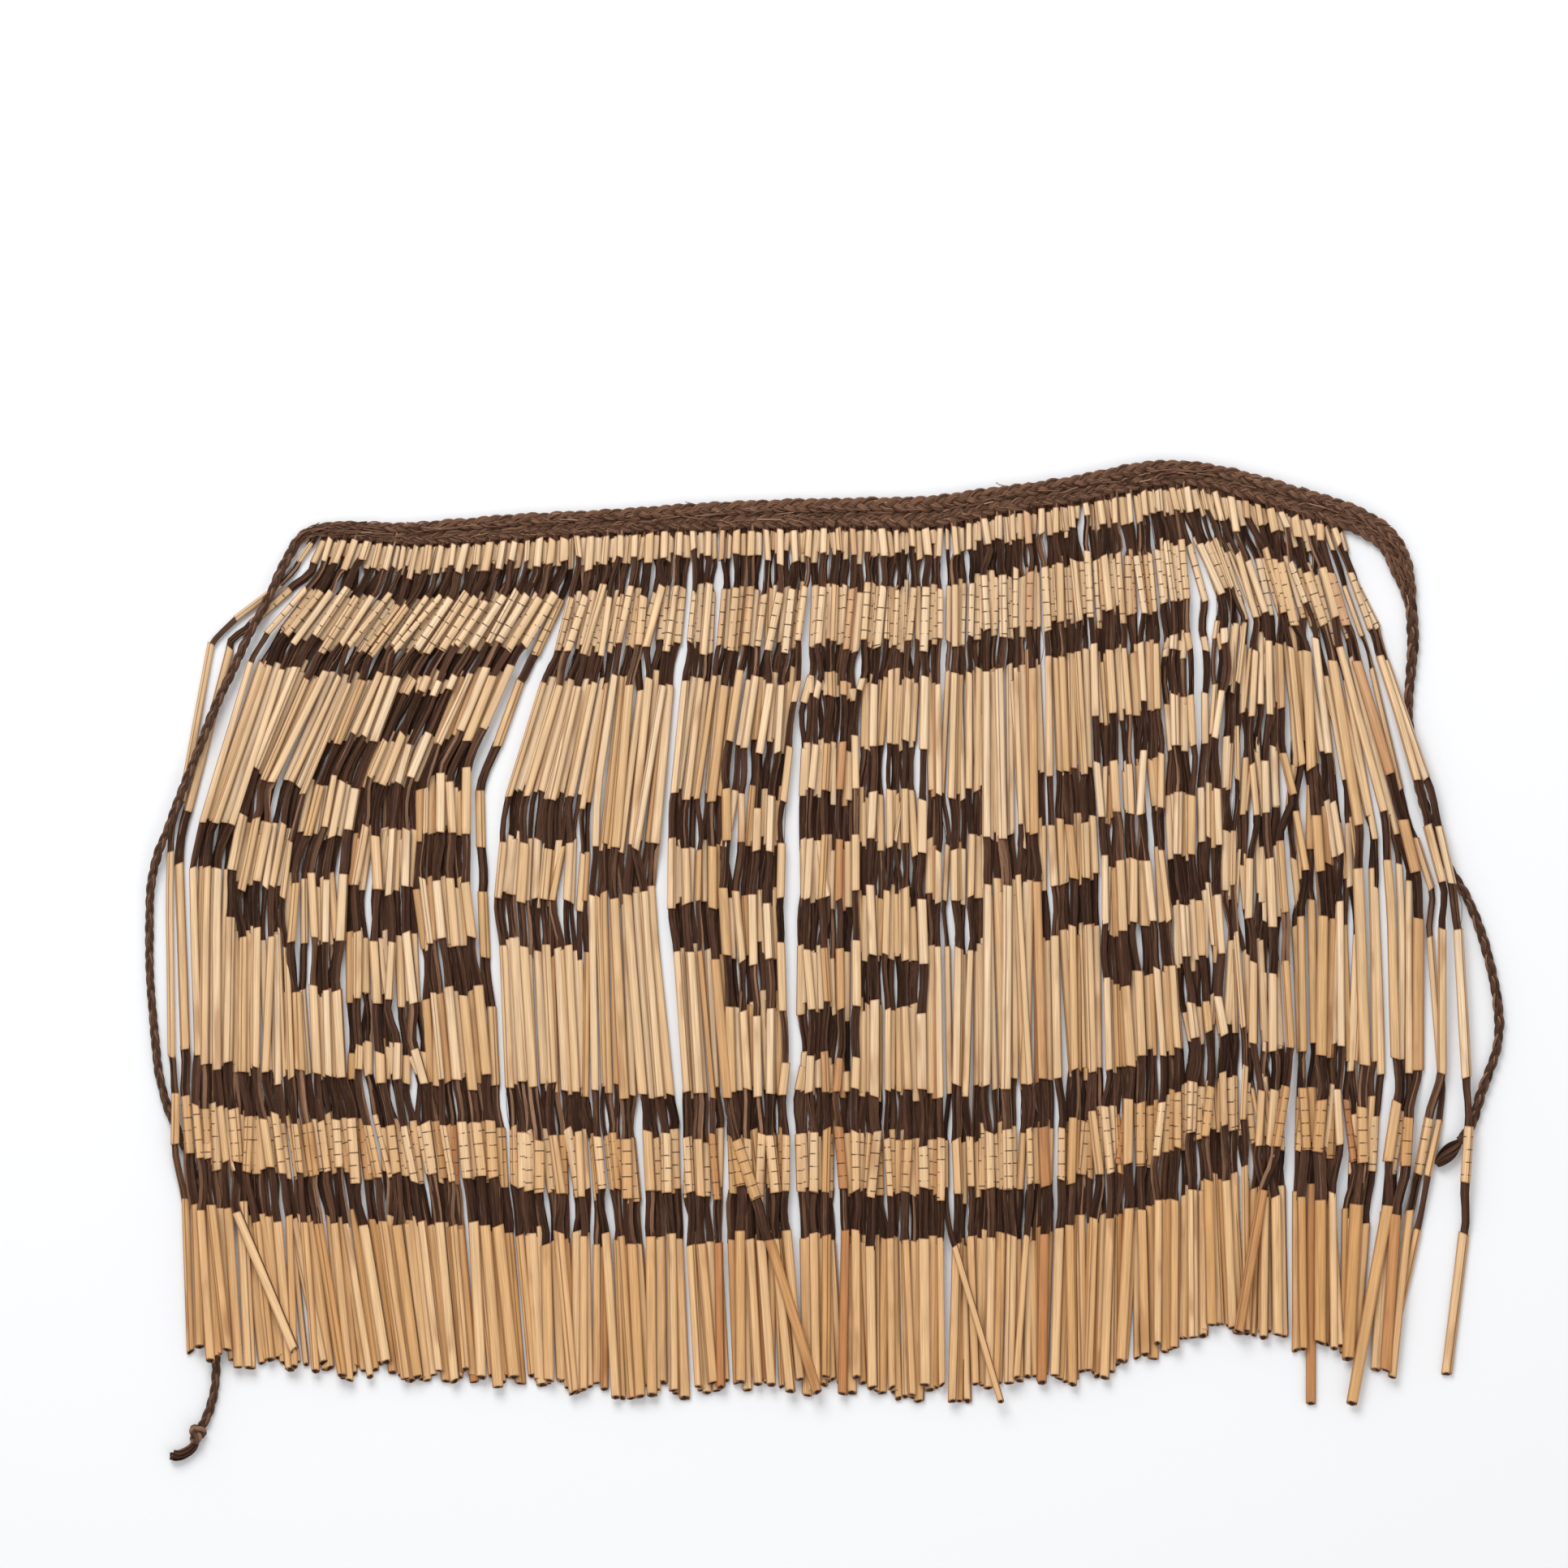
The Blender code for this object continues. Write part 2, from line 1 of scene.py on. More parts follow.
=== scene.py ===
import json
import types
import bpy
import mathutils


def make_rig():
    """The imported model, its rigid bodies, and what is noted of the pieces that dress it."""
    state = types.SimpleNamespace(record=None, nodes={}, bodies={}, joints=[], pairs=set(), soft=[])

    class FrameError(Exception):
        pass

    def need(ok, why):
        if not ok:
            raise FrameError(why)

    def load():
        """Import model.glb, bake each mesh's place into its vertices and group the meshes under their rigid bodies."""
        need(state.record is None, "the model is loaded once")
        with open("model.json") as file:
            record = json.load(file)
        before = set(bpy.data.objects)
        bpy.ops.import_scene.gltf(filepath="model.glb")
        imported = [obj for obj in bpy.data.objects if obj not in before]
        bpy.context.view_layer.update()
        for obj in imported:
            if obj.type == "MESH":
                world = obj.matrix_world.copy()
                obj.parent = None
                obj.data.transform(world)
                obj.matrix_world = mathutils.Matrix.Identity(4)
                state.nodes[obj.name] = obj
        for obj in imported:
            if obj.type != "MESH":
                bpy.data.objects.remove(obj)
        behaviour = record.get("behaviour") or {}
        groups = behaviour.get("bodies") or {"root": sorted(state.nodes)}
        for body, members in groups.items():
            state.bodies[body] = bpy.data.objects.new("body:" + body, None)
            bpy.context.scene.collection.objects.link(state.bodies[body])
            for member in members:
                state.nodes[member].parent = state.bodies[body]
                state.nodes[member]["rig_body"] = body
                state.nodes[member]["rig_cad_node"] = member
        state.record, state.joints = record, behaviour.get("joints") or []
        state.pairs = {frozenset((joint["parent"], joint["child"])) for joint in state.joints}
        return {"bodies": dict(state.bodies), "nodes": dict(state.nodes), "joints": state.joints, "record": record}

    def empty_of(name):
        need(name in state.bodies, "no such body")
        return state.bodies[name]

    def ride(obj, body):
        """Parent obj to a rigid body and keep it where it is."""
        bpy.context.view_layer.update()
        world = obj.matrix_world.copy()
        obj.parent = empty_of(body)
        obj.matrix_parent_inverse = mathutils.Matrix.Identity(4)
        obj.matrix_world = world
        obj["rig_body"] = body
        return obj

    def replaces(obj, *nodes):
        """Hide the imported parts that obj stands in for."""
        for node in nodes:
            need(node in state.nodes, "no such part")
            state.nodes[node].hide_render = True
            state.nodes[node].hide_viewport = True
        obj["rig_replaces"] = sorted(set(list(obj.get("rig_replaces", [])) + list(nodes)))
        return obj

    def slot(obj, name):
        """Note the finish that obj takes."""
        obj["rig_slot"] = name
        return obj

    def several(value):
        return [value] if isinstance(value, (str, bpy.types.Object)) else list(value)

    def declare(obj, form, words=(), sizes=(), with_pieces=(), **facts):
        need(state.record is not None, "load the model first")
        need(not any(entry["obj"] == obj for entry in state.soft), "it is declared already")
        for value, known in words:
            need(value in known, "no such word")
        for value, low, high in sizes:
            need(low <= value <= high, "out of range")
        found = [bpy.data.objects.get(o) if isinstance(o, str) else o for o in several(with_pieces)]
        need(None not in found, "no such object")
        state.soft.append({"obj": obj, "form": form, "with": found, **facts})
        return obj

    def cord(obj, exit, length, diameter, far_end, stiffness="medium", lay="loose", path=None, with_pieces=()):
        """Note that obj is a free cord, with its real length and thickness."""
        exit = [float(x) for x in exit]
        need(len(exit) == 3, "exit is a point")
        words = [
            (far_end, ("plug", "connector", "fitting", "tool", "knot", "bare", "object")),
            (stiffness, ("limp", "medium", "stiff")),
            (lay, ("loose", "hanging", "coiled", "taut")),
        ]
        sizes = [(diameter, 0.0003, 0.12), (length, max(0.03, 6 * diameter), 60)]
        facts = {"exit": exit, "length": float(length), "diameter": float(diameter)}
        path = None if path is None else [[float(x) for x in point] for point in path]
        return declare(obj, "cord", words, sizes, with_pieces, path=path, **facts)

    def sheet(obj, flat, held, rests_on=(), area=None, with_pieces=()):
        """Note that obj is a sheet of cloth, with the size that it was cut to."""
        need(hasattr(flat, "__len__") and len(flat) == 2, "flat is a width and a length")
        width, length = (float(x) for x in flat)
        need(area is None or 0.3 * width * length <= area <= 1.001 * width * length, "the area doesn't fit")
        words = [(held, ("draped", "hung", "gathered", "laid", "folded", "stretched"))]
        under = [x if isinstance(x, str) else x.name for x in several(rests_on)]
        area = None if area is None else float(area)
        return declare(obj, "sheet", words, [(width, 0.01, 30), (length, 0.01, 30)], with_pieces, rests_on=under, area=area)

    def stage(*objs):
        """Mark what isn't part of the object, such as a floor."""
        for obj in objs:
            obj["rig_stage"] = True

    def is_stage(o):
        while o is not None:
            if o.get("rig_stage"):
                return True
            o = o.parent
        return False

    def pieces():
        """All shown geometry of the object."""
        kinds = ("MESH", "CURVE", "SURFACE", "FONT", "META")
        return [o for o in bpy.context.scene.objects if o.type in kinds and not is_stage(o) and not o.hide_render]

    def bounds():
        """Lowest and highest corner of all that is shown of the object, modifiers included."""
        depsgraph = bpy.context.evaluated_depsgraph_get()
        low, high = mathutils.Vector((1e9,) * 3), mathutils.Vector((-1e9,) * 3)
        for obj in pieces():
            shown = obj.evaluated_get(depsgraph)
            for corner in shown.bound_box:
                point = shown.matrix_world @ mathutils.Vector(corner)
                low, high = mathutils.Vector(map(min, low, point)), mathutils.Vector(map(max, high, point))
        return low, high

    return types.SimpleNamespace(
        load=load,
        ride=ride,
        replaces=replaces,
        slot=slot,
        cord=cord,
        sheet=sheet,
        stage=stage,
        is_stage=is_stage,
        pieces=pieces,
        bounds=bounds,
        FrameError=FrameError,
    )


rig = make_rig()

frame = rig.load()

import bisect
import json
import math
import random

import bpy
from mathutils import Vector

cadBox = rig.bounds()
mm = 0.001


def srgb(red, green, blue):   # a colour from 0 to 255 as the shader's linear one
    parts = [part / 255 for part in (red, green, blue)]
    return (*(part / 12.92 if part < 0.04 else ((part + 0.055) / 1.055) ** 2.4 for part in parts), 1.0)


# node trees: a link is a socket with arithmetic

class Link:
    def __init__(self, graph, socket):
        self.graph = graph
        self.socket = socket

    def maths(self, operation, *others):
        return self.graph.maths(operation, self, *others)

    def __add__(self, other):
        return self.graph.maths("ADD", self, other)

    def __radd__(self, other):
        return self.graph.maths("ADD", other, self)

    def __sub__(self, other):
        return self.graph.maths("SUBTRACT", self, other)

    def __rsub__(self, other):
        return self.graph.maths("SUBTRACT", other, self)

    def __mul__(self, other):
        return self.graph.maths("MULTIPLY", self, other)

    def __rmul__(self, other):
        return self.graph.maths("MULTIPLY", other, self)

    def __truediv__(self, other):
        return self.graph.maths("DIVIDE", self, other)

    def __rtruediv__(self, other):
        return self.graph.maths("DIVIDE", other, self)


class Graph:
    def __init__(self, tree):
        self.tree = tree

    def pick(self, sockets, key):
        usable = [socket for socket in sockets if socket.enabled]
        if isinstance(key, int):
            return usable[key]
        return next(socket for socket in usable if key in (socket.name, socket.identifier))

    def add(self, kind, settings=None, values=None, out=0):
        node = self.tree.nodes.new(kind)
        for name, value in (settings or {}).items():
            if name == "stops":
                ramp = node.color_ramp.elements
                while len(ramp) < len(value):
                    ramp.new(0.5)
                for stop, (place, colour) in zip(ramp, value):
                    stop.position = place
                    stop.color = colour
            else:
                setattr(node, name, value)
        for key, value in (values or {}).items():
            socket = self.pick(node.inputs, key)
            if isinstance(value, Link):
                self.tree.links.new(value.socket, socket)
            else:
                socket.default_value = value
        return Link(self, self.pick(node.outputs, out)) if node.outputs else node

    def maths(self, operation, *values):
        vector = any(isinstance(value, Link) and value.socket.type == "VECTOR" for value in values)
        kind = "ShaderNodeVectorMath" if vector else "ShaderNodeMath"
        return self.add(kind, {"operation": operation}, dict(enumerate(values)))

    def scaled(self, vector, amount):
        return self.add("ShaderNodeVectorMath", {"operation": "SCALE"}, {"Vector": vector, "Scale": amount})

    def blend(self, share, first, second, way="MIX"):
        settings = {"data_type": "RGBA", "blend_type": way}
        return self.add("ShaderNodeMix", settings, {"Factor": share, "A": first, "B": second})

    def band(self, value, low, high, bottom=0.0, top=1.0):   # smooth step between two values
        values = {"Value": value, "From Min": low, "From Max": high, "To Min": bottom, "To Max": top}
        return self.add("ShaderNodeMapRange", {"interpolation_type": "SMOOTHSTEP"}, values)


# sweeps: a section carried along many paths by one geometry tree

def sweepTree(name, sizes, section):
    tree = bpy.data.node_groups.new(name, "GeometryNodeTree")
    face = tree.interface
    face.new_socket("Paths", in_out="INPUT", socket_type="NodeSocketGeometry")
    face.new_socket("Material", in_out="INPUT", socket_type="NodeSocketMaterial")
    for label, value in sizes.items():
        kind = "NodeSocketInt" if isinstance(value, int) else "NodeSocketFloat"
        face.new_socket(label, in_out="INPUT", socket_type=kind).default_value = value
    face.new_socket("Mesh", in_out="OUTPUT", socket_type="NodeSocketGeometry")
    graph = Graph(tree)
    inlet = tree.nodes.new("NodeGroupInput")
    given = {socket.name: Link(graph, socket) for socket in inlet.outputs if socket.name}

    def store(geometry, label, value, kind="FLOAT"):
        values = {"Geometry": geometry, "Name": label, "Value": value}
        return graph.add("GeometryNodeStoreNamedAttribute", {"data_type": kind, "domain": "POINT"}, values)

    def read(label, kind="FLOAT"):
        return graph.add("GeometryNodeInputNamedAttribute", {"data_type": kind}, {"Name": label})

    curves = graph.add("GeometryNodeMeshToCurve", None, {"Mesh": given["Paths"]})
    curves = store(curves, "run", graph.add("GeometryNodeInputTangent"), "FLOAT_VECTOR")
    curves = store(curves, "core", graph.add("GeometryNodeInputPosition"), "FLOAT_VECTOR")
    ring = graph.add("GeometryNodeCurvePrimitiveCircle", {"mode": "RADIUS"}, {"Resolution": given["Corners"]})
    ring = store(ring, "corner", graph.add("GeometryNodeInputIndex"))
    values = {"Curve": curves, "Profile Curve": ring, "Fill Caps": True}
    mesh = graph.add("GeometryNodeCurveToMesh", None, values)
    run, core = read("run", "FLOAT_VECTOR"), read("core", "FLOAT_VECTOR")
    side = run.maths("CROSS_PRODUCT", (0.0, 0.0, 1.0)).maths("NORMALIZE")
    rise = side.maths("CROSS_PRODUCT", run)
    across, up, onward, around, edge, inside = section(given, read)
    mesh = store(mesh, "around", around)
    # edge: how near a point lies to the tube's flank; the leaf finish darkens the flanks with it as painted shade
    mesh = store(mesh, "edge", edge)
    # inside: 1 on the rolled leaf's inner skin, which the leaf finish paints dark as shade in the hollow
    mesh = store(mesh, "inside", inside)
    spot = core + graph.scaled(side, across) + graph.scaled(rise, up) + graph.scaled(run, onward)
    mesh = graph.add("GeometryNodeSetPosition", None, {"Geometry": mesh, "Position": spot})
    mesh = graph.add("GeometryNodeSetMaterial", None, {"Geometry": mesh, "Material": given["Material"]})
    mesh = graph.add("GeometryNodeRealizeInstances", None, {"Geometry": mesh})
    tree.links.new(mesh.socket, tree.nodes.new("NodeGroupOutput").inputs["Mesh"])
    return tree


def leafSection(given, read):   # a strip of leaf rolled up: the outer skin out, the inner skin back
    corner, outer = read("corner"), given["Outer corners"]
    inner = corner.maths("GREATER_THAN", outer - 0.5)
    back = (given["Corners"] - 1 - corner) / (given["Corners"] - outer - 1)
    share = corner / (outer - 1) * (1 - inner) + back * inner
    angle = read("seam") + share * given["Turns"] * math.tau
    reach = 1 - given["Curl"] * share
    cosine, sine = angle.maths("COSINE"), angle.maths("SINE")
    wide = read("wide") * reach - inner * given["Leaf thickness"]
    high = read("high") * reach - inner * given["Leaf thickness"]
    onward = read("slant") * cosine - read("tip") * sine
    return cosine * wide, sine * high, onward, share * given["Turns"], cosine.maths("ABSOLUTE"), inner


def ropeSection(given, read):   # a flat or round bundle that may twist
    angle = read("corner") / given["Corners"] * math.tau
    wide = angle.maths("COSINE") * read("wide")
    high = angle.maths("SINE") * read("high")
    cosine, sine = read("twist").maths("COSINE"), read("twist").maths("SINE")
    around = read("corner") / given["Corners"]
    return wide * cosine - high * sine, wide * sine + high * cosine, 0.0, around, 0.0, 0.0


sharpFrom = 55   # degrees between faces


class Paths:   # polylines with a number of each kind at every point
    def __init__(self, *kinds):
        self.kinds = kinds
        self.points = []
        self.edges = []
        self.values = []

    def add(self, points, rows):
        first = len(self.points)
        self.points += [tuple(point) for point in points]
        self.edges += [(first + index, first + index + 1) for index in range(len(points) - 1)]
        self.values += rows


def sweep(name, paths, tree, sizes, material):
    mesh = bpy.data.meshes.new(name + " paths")
    mesh.from_pydata(paths.points, paths.edges, [])
    for column, kind in enumerate(paths.kinds):
        layer = mesh.attributes.new(kind, "FLOAT", "POINT")
        layer.data.foreach_set("value", [row[column] for row in paths.values])
    guide = shown(name + " paths", mesh)
    modifier = guide.modifiers.new("Sweep", "NODES")
    modifier.node_group = tree
    for socket in tree.interface.items_tree:
        if socket.in_out == "INPUT" and socket.name in sizes:
            modifier[socket.identifier] = sizes[socket.name]
        if socket.in_out == "INPUT" and socket.name == "Material":
            modifier[socket.identifier] = material
    bpy.context.view_layer.update()
    made = bpy.data.meshes.new_from_object(guide.evaluated_get(bpy.context.evaluated_depsgraph_get()))
    guide.modifiers.remove(modifier)
    bpy.data.objects.remove(guide)
    made.name = name
    for spare in ("run", "core", "corner", "wide", "high", "slant", "tip", "seam", "twist"):
        if spare in made.attributes:
            made.attributes.remove(made.attributes[spare])
    made.shade_smooth()
    made.set_sharp_from_angle(angle=math.radians(sharpFrom))
    return shown(name, made)


def shown(name, data):   # an object at the origin
    made = bpy.data.objects.new(name, data)
    bpy.context.scene.collection.objects.link(made)
    return made


def fitted(piece, node, slot):   # stands for one of the solids
    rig.ride(piece, "root")
    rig.replaces(piece, node)
    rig.slot(piece, slot)
    return piece


# curves in the plan

layout = dict(centreX=2.08, centreY=1.24, seam=0.3, floorGap=0.3)   # mm


def place(x, y, z=0.0):
    return Vector(((x - layout["centreX"]) * mm, (y - layout["centreY"]) * mm, z * mm))


def along(points, reached, distance):
    index = min(max(bisect.bisect_right(reached, distance), 1), len(points) - 1)
    span = reached[index] - reached[index - 1]
    return points[index - 1].lerp(points[index], (distance - reached[index - 1]) / span)


def measured(points):   # the distance from the first point to each
    reached = [0.0]
    for first, second in zip(points, points[1:]):
        reached.append(reached[-1] + (second - first).length)
    return reached


def smoothCurve(points, step, finer=12):   # a round curve through the points, in equal steps
    points = [Vector(point) for point in points]
    padded = [2 * points[0] - points[1], *points, 2 * points[-1] - points[-2]]
    fine = [points[0]]
    for before, start, end, after in zip(padded, padded[1:], padded[2:], padded[3:]):
        for index in range(1, finer + 1):
            t = index / finer
            line = 2 * start + (end - before) * t
            bend = (2 * before - 5 * start + 4 * end - after) * t**2
            fine.append(0.5 * (line + bend + (3 * start - before - 3 * end + after) * t**3))
    reached = measured(fine)
    count = max(2, round(reached[-1] / step))
    return [along(fine, reached, reached[-1] * index / count) for index in range(count + 1)]


def laidOut(route, step):   # a smooth curve through places in mm
    return smoothCurve([place(*point) for point in route], step * mm)


def turned(degrees):   # the direction at this angle in the plan
    turn = math.radians(degrees)
    return Vector((math.cos(turn), math.sin(turn), 0.0))


def sideways(points, index):
    before = points[max(index - 1, 0)]
    after = points[min(index + 1, len(points) - 1)]
    run = (after - before).to_2d().normalized()
    return Vector((-run.y, run.x, 0.0))


def smoothStep(value):
    value = min(max(value, 0.0), 1.0)
    return value * value * (3 - 2 * value)


# camera

camera = dict(
    acrossFrame=0.966, distance=4.2, tilt=3.5, aim=(-21.08, 90.2, 4.0), sensor=36.0)   # m, degrees, mm


def makeCamera():
    data = bpy.data.cameras.new("camera")
    data.sensor_width = camera["sensor"]
    data.lens = data.sensor_width * camera["distance"] / camera["acrossFrame"]
    made = shown("camera", data)
    tilt = math.radians(camera["tilt"])
    aim = Vector([value * mm for value in camera["aim"]])
    made.location = aim + camera["distance"] * Vector((0.0, -math.sin(tilt), math.cos(tilt)))
    made.rotation_euler = (tilt, 0.0, 0.0)
    bpy.context.scene.camera = made


makeCamera()


# finishes

leafLook = dict(
    pale=(242, 212, 174), cream=(234, 198, 154), straw=(226, 186, 138), golden=(218, 174, 120),
    tan=(208, 160, 110), orange=(198, 142, 94), stain=(146, 92, 50), hemTint=(250, 236, 216),
    # side is painted shade: the brown that darkens the tube's flanks where neighbouring tubes shade them
    # the inside colour is painted shade: the dark of the tube's hollow
    # the seam's colour is painted shadow: a dark line for the slit where the rolled leaf's edge overlaps
    side=(146, 92, 50), score=(72, 44, 28), seamShadow=(122, 76, 42), inside=(60, 40, 26))
leafShades = ((0.0, "straw"), (0.2, "cream"), (0.38, "pale"), (0.54, "cream"), (0.72, "straw"),
              (0.88, "golden"), (0.97, "tan"), (1.0, "orange"))   # share of the strands
# how fine each mark is round the tube and along it, and how much it shifts from strand to strand
leafMarks = dict(grain=(26, 28, 91), patches=(1.3, 17, 57), breaks=(5, 90, 37))
# where each mark starts and ends, then how strong it is at those places
leafBands = dict(
    # side: how near the flank the painted shade starts, and how strong it grows there
    whitened=(0.20, 0.0, 0.0, 0.35), hem=(0.28, 0.46), side=(0.58, 1.0, 0.0, 0.7),
    grain=(0.25, 0.75, 0.45, 1.06), patches=(0.57, 0.74, 0.0, 0.5), breaks=(0.38, 0.56),
    # seam: how far round from the leaf's edge the painted seam shadow reaches, and how dark it is
    seam=(0.05, 0.02, 0.0, 0.75), rim=(0.9 * mm, 0.15 * mm, 0.0, 0.75), roughness=(0.2, 0.8, 0.42, 0.6))
leafFinish = dict(
    grainShare=0.6, scorePitch=7.8, scoreWidth=0.66, scoreEdge=(1.5, 0.7), scoreDark=0.9, scoreDeep=1.5,
    deep=0.16, gloss=0.4)   # mm, shares


def read(graph, name):
    return graph.add("ShaderNodeAttribute", {"attribute_name": name}, None, "Fac")


def mottle(graph, where, fineness, detail, roughness=0.55):   # noise laid round and along each strand
    spot = dict(zip("XYZ", [value * fine for value, fine in zip(where, fineness)]))
    vector = graph.add("ShaderNodeCombineXYZ", None, spot)
    values = {"Vector": vector, "Scale": 1.0, "Detail": detail, "Roughness": roughness}
    return graph.add("ShaderNodeTexNoise", {"noise_dimensions": "3D"}, values, "Fac")


def shaded(graph, stops, shades, share):
    stops = [(spot, shades[name]) for spot, name in stops]
    return graph.add("ShaderNodeValToRGB", {"stops": stops}, {"Fac": share})


def newMaterial(name):
    material = bpy.data.materials.new(name)
    material.use_nodes = True
    material.node_tree.nodes.clear()
    return material, Graph(material.node_tree)


def closeMaterial(graph, colour, roughness, height, deep, gloss):
    bump = graph.add("ShaderNodeBump", None, {"Height": height, "Distance": deep * mm, "Strength": 1.0})
    values = {"Base Color": colour, "Roughness": roughness, "Normal": bump, "Specular IOR Level": gloss}
    shader = graph.add("ShaderNodeBsdfPrincipled", None, values)
    graph.add("ShaderNodeOutputMaterial", None, {"Surface": shader})


def makeLeafMaterial():
    material, graph = newMaterial("rolled leaf")
    look = {name: srgb(*value) for name, value in leafLook.items()}
    bands, marks, finish = leafBands, leafMarks, leafFinish
    strand, down, around = read(graph, "chance"), read(graph, "along"), read(graph, "around")
    where = (around, down, strand)
    colour = shaded(graph, leafShades, look, strand)
    colour = graph.blend(graph.band(down, *bands["whitened"]), colour, look["pale"])   # near the waistband
    colour = graph.blend(graph.band(down, *bands["hem"]), colour, look["hemTint"], "MULTIPLY")
    # painted shade: the tube's flanks darkened towards the side colour, for the shade between neighbouring tubes
    colour = graph.blend(graph.band(read(graph, "edge"), *bands["side"]), colour, look["side"])
    grain = mottle(graph, where, marks["grain"], detail=3.0)
    colour = graph.blend(finish["grainShare"], colour, graph.band(grain, *bands["grain"]), "MULTIPLY")
    patches = mottle(graph, where, marks["patches"], detail=2.0)
    colour = graph.blend(graph.band(patches, *bands["patches"]), colour, look["stain"])
    line = ((read(graph, "score") + 0.5).maths("FRACT") - 0.5).maths("ABSOLUTE")   # the way to a scored line
    thin = finish["scoreWidth"] / finish["scorePitch"] / 2
    scored = graph.band(line, *[thin * edge for edge in finish["scoreEdge"]], 0.0, finish["scoreDark"])
    scored = scored * graph.band(mottle(graph, where, marks["breaks"], detail=1.0), *bands["breaks"])
    colour = graph.blend(scored, colour, look["score"])
    # painted shadow along the seam, where the overlapping edge leaves a slit; the same mask also sinks the bump there
    seam = graph.band(around, *bands["seam"])
    colour = graph.blend(seam, colour, look["seamShadow"])
    colour = graph.blend(graph.band(read(graph, "cut"), *bands["rim"]), colour, look["stain"])
    # painted shade: the inner skin made dark brown, for the shade inside the tube's hollow
    colour = graph.blend(read(graph, "inside"), colour, look["inside"])
    roughness = graph.band(grain, *bands["roughness"])
    height = grain - scored * finish["scoreDeep"] - seam
    closeMaterial(graph, colour, roughness, height, finish["deep"], finish["gloss"])
    return material


# the light shade and the lighter streaks are partly fibres of a lighter tone and partly painted highlight for the
# fibres' sheen
fibreLook = dict(darkest=(36, 20, 11), dark=(61, 37, 24), middle=(91, 61, 43), purple=(76, 50, 38),
                 light=(158, 120, 93), streaksAndSheen=0.55, roughness=0.62)
plaitLook = dict(darkest=(64, 41, 28), dark=(99, 70, 53), middle=(128, 93, 72), purple=(114, 83, 66),
                 light=(180, 140, 112), streaksAndSheen=0.8, roughness=0.7)
tieLook = dict(darkest=(55, 36, 26), dark=(83, 58, 44), middle=(103, 74, 57), purple=(92, 67, 55),
               light=(142, 107, 85), streaksAndSheen=0.4, roughness=0.72)
fibreShades = ((0.0, "darkest"), (0.3, "dark"), (0.58, "purple"), (0.9, "middle"), (1.0, "light"))
fibreMarks = dict(streak=(9, 60, 83), fine=(34, 110, 31))   # as for the leaf
fibreBands = dict(streak=(0.56, 0.78, 0.0), fine=(0.55, 0.28, 0.0, 0.7), roughness=(0.2, 0.8))
fibreFinish = dict(uneven=0.1, deep=0.14, gloss=0.12)   # mm, shares


def makeFibreMaterial(name, look):
    material, graph = newMaterial(name)
    shades = {label: srgb(*value) for label, value in look.items() if isinstance(value, tuple)}
    thread, down, around = read(graph, "chance"), read(graph, "along"), read(graph, "around")
    where = (around, down, thread)
    colour = shaded(graph, fibreShades, shades, thread)
    streak = mottle(graph, where, fibreMarks["streak"], detail=3.0, roughness=0.6)
    fine = mottle(graph, where, fibreMarks["fine"], detail=2.0, roughness=0.6)
    # lighter streaks along the fibres: partly lighter fibres, partly painted highlight for their sheen
    colour = graph.blend(graph.band(streak, *fibreBands["streak"], look["streaksAndSheen"]), colour, shades["light"])
    colour = graph.blend(graph.band(fine, *fibreBands["fine"]), colour, shades["darkest"])
    low, high = look["roughness"] - fibreFinish["uneven"], look["roughness"] + fibreFinish["uneven"]
    roughness = graph.band(streak, *fibreBands["roughness"], low, high)
    closeMaterial(graph, colour, roughness, fine, fibreFinish["deep"], fibreFinish["gloss"])
    return material


leafMaterial = makeLeafMaterial()
fibreMaterial = makeFibreMaterial("dyed fibre", fibreLook)
plaitMaterial = makeFibreMaterial("plaited fibre", plaitLook)
tieMaterial = makeFibreMaterial("tie fibre", tieLook)
leafSizes = {"Corners": 16, "Outer corners": 11, "Turns": 1.2, "Curl": 0.2, "Leaf thickness": 0.34 * mm}
leafTree = sweepTree("rolled leaf", leafSizes, leafSection)
ropeTree = sweepTree("fibre rope", {"Corners": 6}, ropeSection)
ropeKinds = ("wide", "high", "twist", "along", "chance")


# plaits: strands that weave over and under, each of a few ropes side by side

ropeLay = dict(
    ripples=(9.0, 3.7), ripplePhase=2.3, swell=0.12, swellEvery=4.3, packed=0.5, thickest=1.15,
    roll=-0.5)   # mm, shares, radians


